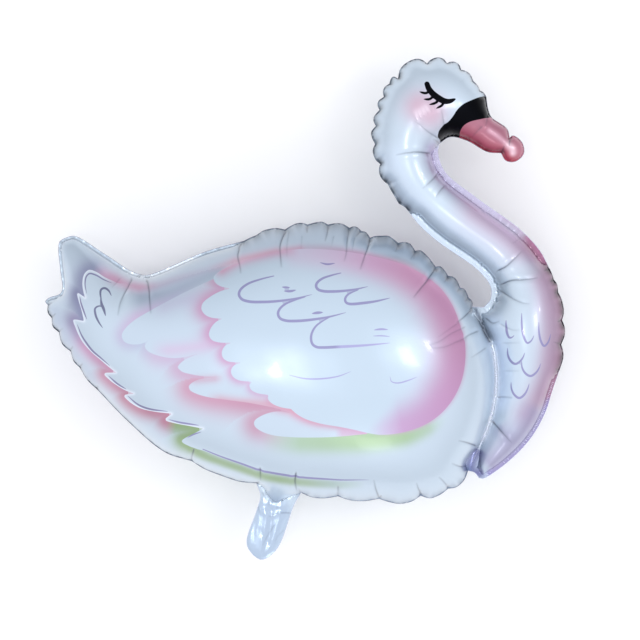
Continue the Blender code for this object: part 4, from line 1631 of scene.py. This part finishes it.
@dataclass(frozen=True)
class PrintedFoil:
    """Pearl white print on metallised film, with the drawing over it."""

    softness: float = 0.00035
    ink_colour: Colour = (9, 10, 15)
    line_cover: float = 0.9
    crease_colour: Colour = (54, 62, 84)
    crease_cover: float = 0.92
    roughness: float = 0.27
    grain: float = 0.05
    metallic: float = 0.3
    matt_metallic: float = 0.98
    coat: float = 0.5
    coat_roughness: float = 0.08
    matt_cover: float = 0.95
    ior: float = 1.45
    bump: float = 0.00006

    def material(self) -> bpy.types.Material:
        """Builds the material.

        Returns:
            the material, which reads the print and its painted shade from the mesh's attributes.
        """
        tree = MaterialTree("printed_foil")

        def within(name: str) -> Value:
            """One inside a line or edge of the print, and nought outside."""
            return tree.number(name).crisp(self.softness)

        colour = tree.colour("margin_print")
        for name in ("body", "feather", "wing"):
            edge = "tail_edge" if name == "body" else f"{name}_edge"
            colour = tree.mixed(within(edge), colour, tree.colour(f"{name}_print"))
        colour = tree.mixed(within("stroke") * self.line_cover, colour, tree.colour("line_print"))
        colour = tree.mixed(within("bill_edge"), colour, tree.colour("bill_print"))
        mask, ink = within("mask_edge"), within("ink")
        dark = mask + ink - mask * ink
        rim, tucked = tree.number("rim"), tree.number("tucked")
        # Painted shade: dark in the creases, and dark and less glossy along the tucked edges
        colour = tree.mixed(tree.number("crease") * self.crease_cover, colour,
                            (*linear(self.crease_colour), 1.0))
        colour = tree.mixed(tucked, colour, tree.colour("tuck_colour"))
        colour = tree.mixed(dark, colour, (*linear(self.ink_colour), 1.0))
        matt = dark + tucked - dark * tucked
        tree.set(Base_Color=colour, Coat_Weight=self.coat * (1 - self.matt_cover * matt),
                 Coat_Roughness=self.coat_roughness, IOR=self.ior)
        tree.set(Metallic=(self.metallic + 0.3 * rim) * (1 - matt) + self.matt_metallic * matt,
                 Roughness=self.roughness + self.grain * tree.noise(90.0) - 0.08 * rim + 0.2 * tucked)
        tree.bumped(tree.noise(420.0, 3.0), self.bump)
        return tree.material


@dataclass(frozen=True)
class SealedFoil:
    """Bare film of the seal: brighter and more metallic than the print, with painted fold shade."""

    colour: Colour = (222, 224, 242)
    grain_share: float = 0.8
    folded_colour: Colour = (70, 74, 92)
    roughness: float = 0.24
    metallic: float = 0.6
    bump: float = 0.00008

    def material(self, name: str) -> bpy.types.Material:
        """Builds the material.

        Args:
            name: the material's name.

        Returns:
            the material, with painted shade where the mesh's own "folded" is 1.
        """
        tree = MaterialTree(name)
        grain = tree.noise(160.0, 3.0)
        bare = linear(self.colour)
        shade = tree.mixed(grain, (*bare, 1.0), (*(self.grain_share * bare), 1.0))
        shade = tree.mixed(tree.number("folded"), shade, (*linear(self.folded_colour), 1.0))
        tree.set(Base_Color=shade, Metallic=self.metallic, Roughness=self.roughness + 0.1 * grain)
        tree.bumped(tree.noise(500.0), self.bump)
        return tree.material


def linked(name: str, data: bpy.types.ID) -> Piece:
    """Makes an object at the origin.

    Args:
        name: its name.
        data: its mesh, camera or light.

    Returns:
        the object, linked to the scene.
    """
    made = bpy.data.objects.new(name, data)
    bpy.context.scene.collection.objects.link(made)
    return made


def mesh_object(name: str, vertices: Array, faces: Array | list[tuple[int, ...]],
                material: bpy.types.Material) -> Piece:
    """Makes a smooth mesh object at the origin.

    Args:
        name: the object's name.
        vertices: the places of its points.
        faces: the points of each face.
        material: its finish.

    Returns:
        the object, linked to the scene.
    """
    mesh = bpy.data.meshes.new(name)
    mesh.from_pydata(vertices.tolist(), [], [tuple(face) for face in np.asarray(faces).tolist()])
    mesh.shade_smooth()
    mesh.materials.append(material)
    return linked(name, mesh)


def declare(piece: Piece, replaces: bool = True) -> None:
    """Tells the frame what a piece stands for.

    Args:
        piece: the finished piece.
        replaces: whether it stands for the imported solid.
    """
    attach(piece, BODY)
    if replaces:
        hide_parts(NODE)


@dataclass
class Envelope:
    """The two printed sheets, each one mesh over the same pattern."""

    paper: Paper
    outline: Outline
    finish: PrintedFoil = field(default_factory=PrintedFoil)
    fold_ramp: float = 0.007
    slack_ramp: float = 0.03
    crease_ramp: float = 0.004
    least_crease: float = 0.3
    filler_crease: float = 0.6

    def build(self) -> list[Piece]:
        """Builds both sheets.

        Returns:
            the front sheet and the back sheet.
        """
        relief = Relief(self.paper, self.outline)
        drawing = Print(self.paper)
        pattern = Pattern(self.paper, self.outline, relief.rows() + drawing.rows())
        LOG.info("pattern: %d points, %d triangles", len(pattern.points), len(pattern.triangles))
        material = self.finish.material()
        attributes = self.attributes(pattern, drawing)
        pieces = []
        for side in Side:
            # Each sheet's painted crease shade is kept as its "crease" attribute
            vertices, attributes["crease"] = self.surface(pattern, relief, side)
            faces = pattern.triangles if side is Side.FRONT else pattern.triangles[:, ::-1]
            piece = mesh_object(f"{side.name.lower()}_sheet", vertices, faces, material)
            self.store(piece.data, attributes)
            declare(piece)
            pieces.append(piece)
        return pieces

    def surface(self, pattern: Pattern, relief: Relief, side: Side) -> tuple[Array, Array]:
        """Places the pattern's points on one swollen sheet.

        Args:
            pattern: the foil's pattern.
            relief: its wrinkles.
            side: the sheet.

        Returns:
            x, y and z of each point, and the painted shade of its creases there.
        """
        rise = pattern.rise
        normal = pattern.normals(rise)
        ramp = np.clip(rise / self.fold_ramp, 0, 1)
        folds, pinched = relief.folded(pattern.points, side)
        move = (folds + relief.gathered(pattern)) * ramp
        move += relief.slack(pattern.points) * np.clip(rise / self.slack_ramp, 0, 1)
        half = np.hypot(rise, RIM_HALF)
        lifted = np.column_stack([pattern.points, half]) + normal * move[:, None]
        lifted[:, 2] += relief.filler(pattern)
        wave = np.where(pattern.held, relief.crinkled(pattern), 0)
        height = side.value * np.maximum(lifted[:, 2], RIM_HALF / 2) + wave
        lifted[:, 2] = np.clip(height + self.paper.seam_height, 0, self.paper.high.z)
        # The painted crease shade fades on the flat rim and is weaker on the filler
        shown = np.clip(rise / self.crease_ramp, self.least_crease, 1)
        return lifted, pinched * np.where(relief.in_filler(pattern), self.filler_crease, shown)

    def attributes(self, pattern: Pattern, drawing: Print) -> dict[str, Array]:
        """Reads the print at the pattern's points.

        Args:
            pattern: the foil's pattern.
            drawing: the print.

        Returns:
            each attribute's values by its name.
        """
        points = pattern.points
        found = {name: drawing.signed(points, name) for name in drawing.edges}
        found["stroke"] = drawing.drawn(points, ink=False)
        found["ink"] = drawing.drawn(points, ink=True)
        found["rim"] = pattern.held.astype(float)
        # Painted shade along the tucked edges, with its colour
        found["tucked"], found["tuck_colour"] = drawing.tucked(points, self.outline)
        for name, (ground, glows) in PRINTS.items():
            found[f"{name}_print"] = drawing.painted(points, ground, glows)
        return found

    @staticmethod
    def store(mesh: bpy.types.Mesh, attributes: dict[str, Array]) -> None:
        """Writes attributes to a mesh's points.

        Args:
            mesh: the mesh.
            attributes: numbers or colours by their name.
        """
        for name, values in attributes.items():
            if values.ndim == 1:
                layer = mesh.attributes.new(name, "FLOAT", "POINT")
                layer.data.foreach_set("value", values.astype(np.float32))
            else:
                layer = mesh.attributes.new(name, "FLOAT_COLOR", "POINT")
                full = np.column_stack([values, np.ones(len(values))])
                layer.data.foreach_set("color", full.astype(np.float32).ravel())


class GeometryTree(NodeTree):
    """Builds a Geometry Nodes group and turns its result into a plain mesh."""

    def __init__(self, name: str) -> None:
        """Starts a group of that name, which takes and gives geometry."""
        super().__init__(bpy.data.node_groups.new(name, "GeometryNodeTree"))
        for way in ("INPUT", "OUTPUT"):
            self.tree.interface.new_socket("Geometry", in_out=way, socket_type="NodeSocketGeometry")
        self.sizes: Named = {}

    def size(self, name: str, value: float | int, kind: str = "NodeSocketFloat") -> None:
        """Adds a named input with its value."""
        socket = self.tree.interface.new_socket(name, in_out="INPUT", socket_type=kind)
        self.sizes[socket.identifier] = value

    def random(self, kind: str, seed: Socket, limits: Named) -> Socket:
        """A random value for each place, of that kind and between those limits."""
        node = self.node("FunctionNodeRandomValue", {"data_type": kind}, {**limits, "Seed": seed})
        return self.in_use(node.outputs)

    def finish(self, geometry: Socket, material: bpy.types.Material) -> None:
        """Ends the group: instances made real, and the material set.

        Args:
            geometry: what the group has made.
            material: its finish.
        """
        real = self.node("GeometryNodeRealizeInstances", {}, {"Geometry": geometry})
        dressed = self.node("GeometryNodeSetMaterial", {},
                            {"Geometry": real.outputs[0], "Material": material})
        self.node("NodeGroupOutput", {}, {0: dressed.outputs[0]})

    def applied(self, path: Piece, name: str) -> Piece:
        """Runs the group on a path and keeps the result as a plain mesh.

        Args:
            path: the object that holds the path, which is removed.
            name: the new piece's name.

        Returns:
            the piece.
        """
        modifier = path.modifiers.new("shape", "NODES")
        modifier.node_group = self.tree
        for identifier, value in self.sizes.items():
            modifier[identifier] = value
        bpy.context.view_layer.update()
        evaluated = path.evaluated_get(bpy.context.evaluated_depsgraph_get())
        mesh = bpy.data.meshes.new_from_object(evaluated)
        path.modifiers.clear()
        bpy.data.objects.remove(path)
        mesh.name = name
        mesh.shade_smooth()
        return linked(name, mesh)


def path_object(line: Array, across: Array | None = None, folded: Array | None = None) -> Piece:
    """Makes an object of loose edges that Geometry Nodes can follow.

    Args:
        line: the places along the path.
        across: the way that a rib points at each.
        folded: how much painted shade the bead takes at each, where the film folds over, up to 1.

    Returns:
        the object.
    """
    mesh = bpy.data.meshes.new("path")
    mesh.from_pydata(line.tolist(), [(i, i + 1) for i in range(len(line) - 1)], [])
    if across is not None:
        layer = mesh.attributes.new("across", "FLOAT_VECTOR", "POINT")
        layer.data.foreach_set("vector", across.astype(np.float32).ravel())
    if folded is not None:
        layer = mesh.attributes.new("folded", "FLOAT", "POINT")
        layer.data.foreach_set("value", folded.astype(np.float32))
    return linked("path", mesh)


@dataclass(frozen=True)
class CrimpRun:
    """Part of a stretch of the edge where the flat rim has crinkled, from one share to another."""

    stretch: str
    first: float
    last: float
    share_kept: float


# How much painted shade the cut edge's bead takes where the rim folds over, on each puckered stretch
FOLDED_OVER = {
    "back": 0.75, "head": 0.75, "bill_top": 0.6, "bill_nail": 0.3, "bill_under": 0.6, "breast": 1.0,
    "belly": 0.7, "under_tail": 0.6, "flank": 0.6, "tail_edge": 0.95, "tail": 0.6,
}
CRIMP_RUNS = [
    CrimpRun("nape", 0.03, 0.34, 0.75), CrimpRun("nape", 0.34, 0.6, 0.2),
    CrimpRun("throat", 0.03, 0.30, 0.8), CrimpRun("throat", 0.30, 0.55, 0.3),
    CrimpRun("foot_of_neck", 0.10, 0.55, 0.9), CrimpRun("foot_of_neck", 0.55, 0.95, 0.15),
]


@dataclass
class Seal:
    """The crimped seal: creases across the flat rim and the weld, and the foil's cut edge."""

    paper: Paper
    outline: Outline
    rib_spacing: float = 0.0027
    rib_length: float = 0.0066
    rib_width: float = 0.0010
    rib_height: float = 0.0006
    rib_lean: float = 0.9
    rib_shares: tuple[float, float] = (0.35, 1.1)
    first_seed: int = 41
    weld_rib_length: float = 0.0054
    weld_share_kept: float = 0.95
    weld_crowding: float = 1.6
    weld_seed: int = 60
    weld_start: float = 0.26
    weld_points_spared: int = 3
    edge_radius: float = 0.00045
    finish: SealedFoil = field(default_factory=SealedFoil)
    edge_finish: SealedFoil = field(default_factory=lambda: SealedFoil(roughness=0.46))

    def build(self) -> list[Piece]:
        """Builds the crimps and the cut edge.

        Returns:
            the pieces.
        """
        weld = resampled(self.outline.weld_middle, EDGE_STEP)
        weld = weld[int(self.weld_start * len(weld)):-self.weld_points_spared]
        pieces = [
            self.crimps(f"seal_crimps_{number + 1}", *self.run_of(run), self.rib_length,
                        run.share_kept, self.first_seed + number)
            for number, run in enumerate(CRIMP_RUNS)
        ]
        pieces.append(self.crimps("weld_crimps", weld, line_normals(weld, is_loop=False),
                                  self.weld_rib_length, self.weld_share_kept, self.weld_seed,
                                  self.weld_crowding))
        pieces.append(self.cut_edge())
        for piece in pieces:
            declare(piece, replaces=False)
        return pieces

    def run_of(self, run: CrimpRun) -> tuple[Array, Array]:
        """Follows the middle of the rim along one run.

        Args:
            run: the run.

        Returns:
            its points, and the way across the rim at each.
        """
        rows = self.outline.rows[run.stretch]
        count = rows.stop - rows.start
        part = slice(rows.start + int(run.first * count), rows.start + int(run.last * count))
        inward = self.outline.inward[part]
        return self.outline.edge[part] + 0.5 * self.outline.rims[run.stretch] * inward, inward

    def lifted(self, line: Array) -> Array:
        """Adds the seam's height to a flat line."""
        return np.column_stack([line, np.full(len(line), self.paper.seam_height)])

    def crimps(self, name: str, line: Array, ways: Array, length: float, share_kept: float,
               seed: int, crowding: float = 1.0) -> Piece:
        """Sets small ribs across a line, uneven in size, turn and spacing.

        Args:
            name: the piece's name.
            line: the line that they stand on.
            ways: the direction across it at each of its points.
            length: how long a rib is.
            share_kept: the share of the places that have one.
            seed: chooses which, and their sizes.
            crowding: how much closer and higher than usual they stand.

        Returns:
            the piece.
        """
        flat_ways = np.column_stack([ways, np.zeros(len(ways))])
        path = path_object(self.lifted(line), flat_ways)
        tree = GeometryTree(name)
        sizes = {"Spacing": self.rib_spacing / crowding, "Rib Length": length,
                 "Rib Width": self.rib_width, "Rib Height": 2 * self.rib_height * crowding,
                 "Share Kept": share_kept}
        for label, value in sizes.items():
            tree.size(label, value)
        tree.size("Seed", seed, "NodeSocketInt")
        given = tree.node("NodeGroupInput").outputs
        curve = tree.node("GeometryNodeMeshToCurve", {}, {"Mesh": given["Geometry"]})
        spaced = tree.node("GeometryNodeResampleCurve", {"mode": "LENGTH"},
                           {"Curve": curve.outputs[0], "Length": given["Spacing"]})
        kept = tree.random("BOOLEAN", given["Seed"], {"Probability": given["Share Kept"]})
        rib = tree.node("GeometryNodeMeshUVSphere", {}, {"Segments": 6, "Rings": 4, "Radius": 0.5})
        across = tree.node("GeometryNodeInputNamedAttribute", {"data_type": "FLOAT_VECTOR"},
                           {"Name": "across"})
        turn = tree.random("FLOAT_VECTOR", given["Seed"],
                           {"Min": (-self.rib_lean, -self.rib_lean, 0.0),
                            "Max": (self.rib_lean, self.rib_lean, 0.0)})
        way = tree.node("ShaderNodeVectorMath", {"operation": "ADD"},
                        {0: across.outputs[0], 1: turn})
        facing = tree.node("FunctionNodeAlignRotationToVector", {"axis": "X"},
                           {"Vector": way.outputs[0]})
        least, most = self.rib_shares
        share = tree.random("FLOAT", given["Seed"], {"Min": least, "Max": most})
        long = tree.node("ShaderNodeMath", {"operation": "MULTIPLY"},
                         {0: given["Rib Length"], 1: share})
        size = tree.node("ShaderNodeCombineXYZ", {}, {
            "X": long.outputs[0], "Y": given["Rib Width"], "Z": given["Rib Height"]})
        placed = tree.node("GeometryNodeInstanceOnPoints", {}, {
            "Points": spaced.outputs[0], "Selection": kept, "Instance": rib.outputs[0],
            "Rotation": facing.outputs[0], "Scale": size.outputs[0]})
        tree.finish(placed.outputs[0], self.finish.material(name))
        return tree.applied(path, name)

    def cut_edge(self) -> Piece:
        """Runs a thin bead along the foil's cut edge, which closes the two sheets.

        Returns:
            the piece.
        """
        loop = closed(self.outline.edge)
        # Painted shade on the bead along the puckered stretches
        folded = np.zeros(len(loop))
        for name, share in FOLDED_OVER.items():
            folded[self.outline.rows[name]] = share
        path = path_object(self.lifted(loop), folded=folded)
        tree = GeometryTree("cut_edge")
        tree.size("Radius", self.edge_radius)
        given = tree.node("NodeGroupInput").outputs
        curve = tree.node("GeometryNodeMeshToCurve", {}, {"Mesh": given["Geometry"]})
        ring = tree.node("GeometryNodeCurvePrimitiveCircle", {},
                         {"Resolution": 6, "Radius": given["Radius"]})
        swept = tree.node("GeometryNodeCurveToMesh", {},
                          {"Curve": curve.outputs[0], "Profile Curve": ring.outputs[0],
                           "Fill Caps": True})
        tree.finish(swept.outputs[0], self.edge_finish.material("cut_edge"))
        return tree.applied(path, "cut_edge")


@dataclass(frozen=True)
class Softbox:
    """A square soft light, and the place on the foil where the camera sees it mirrored."""

    name: str
    place: tuple[float, float, float]
    way: tuple[float, float, float]
    distance: float
    size: float
    radiance: float


@dataclass
class Studio:
    """A plain pale floor, a pale room with soft lights, and a camera that looks straight down."""

    paper: Paper
    floor_size: float = 14.0
    floor_colour: Colour = (253, 253, 253)
    floor_roughness: float = 0.85
    room_colour: Colour = (250, 251, 255)
    overhead: float = 1.32
    horizon: float = 0.72
    rising: tuple[float, float] = (0.0, 0.9)
    far_side: float = 0.66
    receding: tuple[float, float] = (0.2, 0.95)
    softboxes: tuple[Softbox, ...] = (
        Softbox("wide_box", (0.161, -0.073, 0.268), (0.461, 0.104, 0.881), 3.0, 0.46, 7.0),
        Softbox("spark_box", (0.188, -0.056, 0.26), (0.614, 0.214, 0.759), 3.0, 0.18, 16.0),
        Softbox("top_box", (-0.040, -0.093, 0.281), (-0.110, -0.057, 0.992), 3.8, 0.30, 21.0),
        Softbox("low_box", (0.294, 0.268, 0.161), (0.091, -0.697, 0.712), 3.0, 0.5, 3.0),
    )

    def build(self) -> None:
        """Builds the floor, the lights and the camera."""
        self.floor()
        self.camera()
        self.room()
        for box in self.softboxes:
            self.light(box)

    def floor(self) -> None:
        """Lays the floor."""
        half = self.floor_size / 2
        tree = MaterialTree("floor")
        tree.set(Base_Color=(*linear(self.floor_colour), 1.0), Roughness=self.floor_roughness)
        corners = np.array([(-half, -half, 0), (half, -half, 0), (half, half, 0), (-half, half, 0)])
        mesh_object("floor", corners, [(0, 1, 2, 3)], tree.material)

    def camera(self) -> None:
        """Hangs the camera over the middle of the picture."""
        data = bpy.data.cameras.new("camera")
        data.lens, data.sensor_width = LENS_MM, SENSOR_MM
        camera = linked("camera", data)
        camera.location = (*self.paper.view_centre, self.paper.seam_height + self.paper.view_distance)
        bpy.context.scene.camera = camera

    def room(self) -> None:
        """Fills the room with pale light: brightest overhead, dimmer low down and beyond the back."""
        world = bpy.data.worlds.new("room")
        tree = MaterialTree("room", world)
        way = tree.node("ShaderNodeTexCoord").outputs["Generated"]
        split = tree.node("ShaderNodeSeparateXYZ", {}, {"Vector": way}).outputs
        up, back = Value(tree, split["Z"]), Value(tree, split["Y"])
        level = self.horizon + (self.overhead - self.horizon) * up.risen(*self.rising)
        level = level * (1 - (1 - self.far_side) * back.risen(*self.receding))
        sky = tree.tree.nodes["Background"]
        tree.feed(sky.inputs["Color"], (*linear(self.room_colour), 1.0))
        tree.feed(sky.inputs["Strength"], level)
        bpy.context.scene.world = world
        bpy.context.scene.view_settings.view_transform = "Standard"

    def light(self, box: Softbox) -> None:
        """Hangs one soft light that faces the balloon.

        Args:
            box: the light.
        """
        data = bpy.data.lights.new(box.name, "AREA")
        data.shape, data.size = "SQUARE", box.size
        data.energy = box.radiance * math.pi * box.size ** 2
        lamp = linked(box.name, data)
        way = Vector(box.way).normalized()
        lamp.location = Vector(box.place) + box.distance * way
        lamp.rotation_euler = (-way).to_track_quat("-Z", "Y").to_euler()


def main() -> None:
    """Builds the balloon and its studio, and reports each piece."""
    logging.basicConfig(level=logging.INFO, format="%(message)s")
    paper = Paper()
    outline = Outline(paper)
    pieces = Envelope(paper, outline).build() + Seal(paper, outline).build()
    for piece in pieces:
        LOG.info("%s: %d faces", piece.name, len(piece.data.polygons))
    Studio(paper).build()


if __name__ == "__main__":
    main()
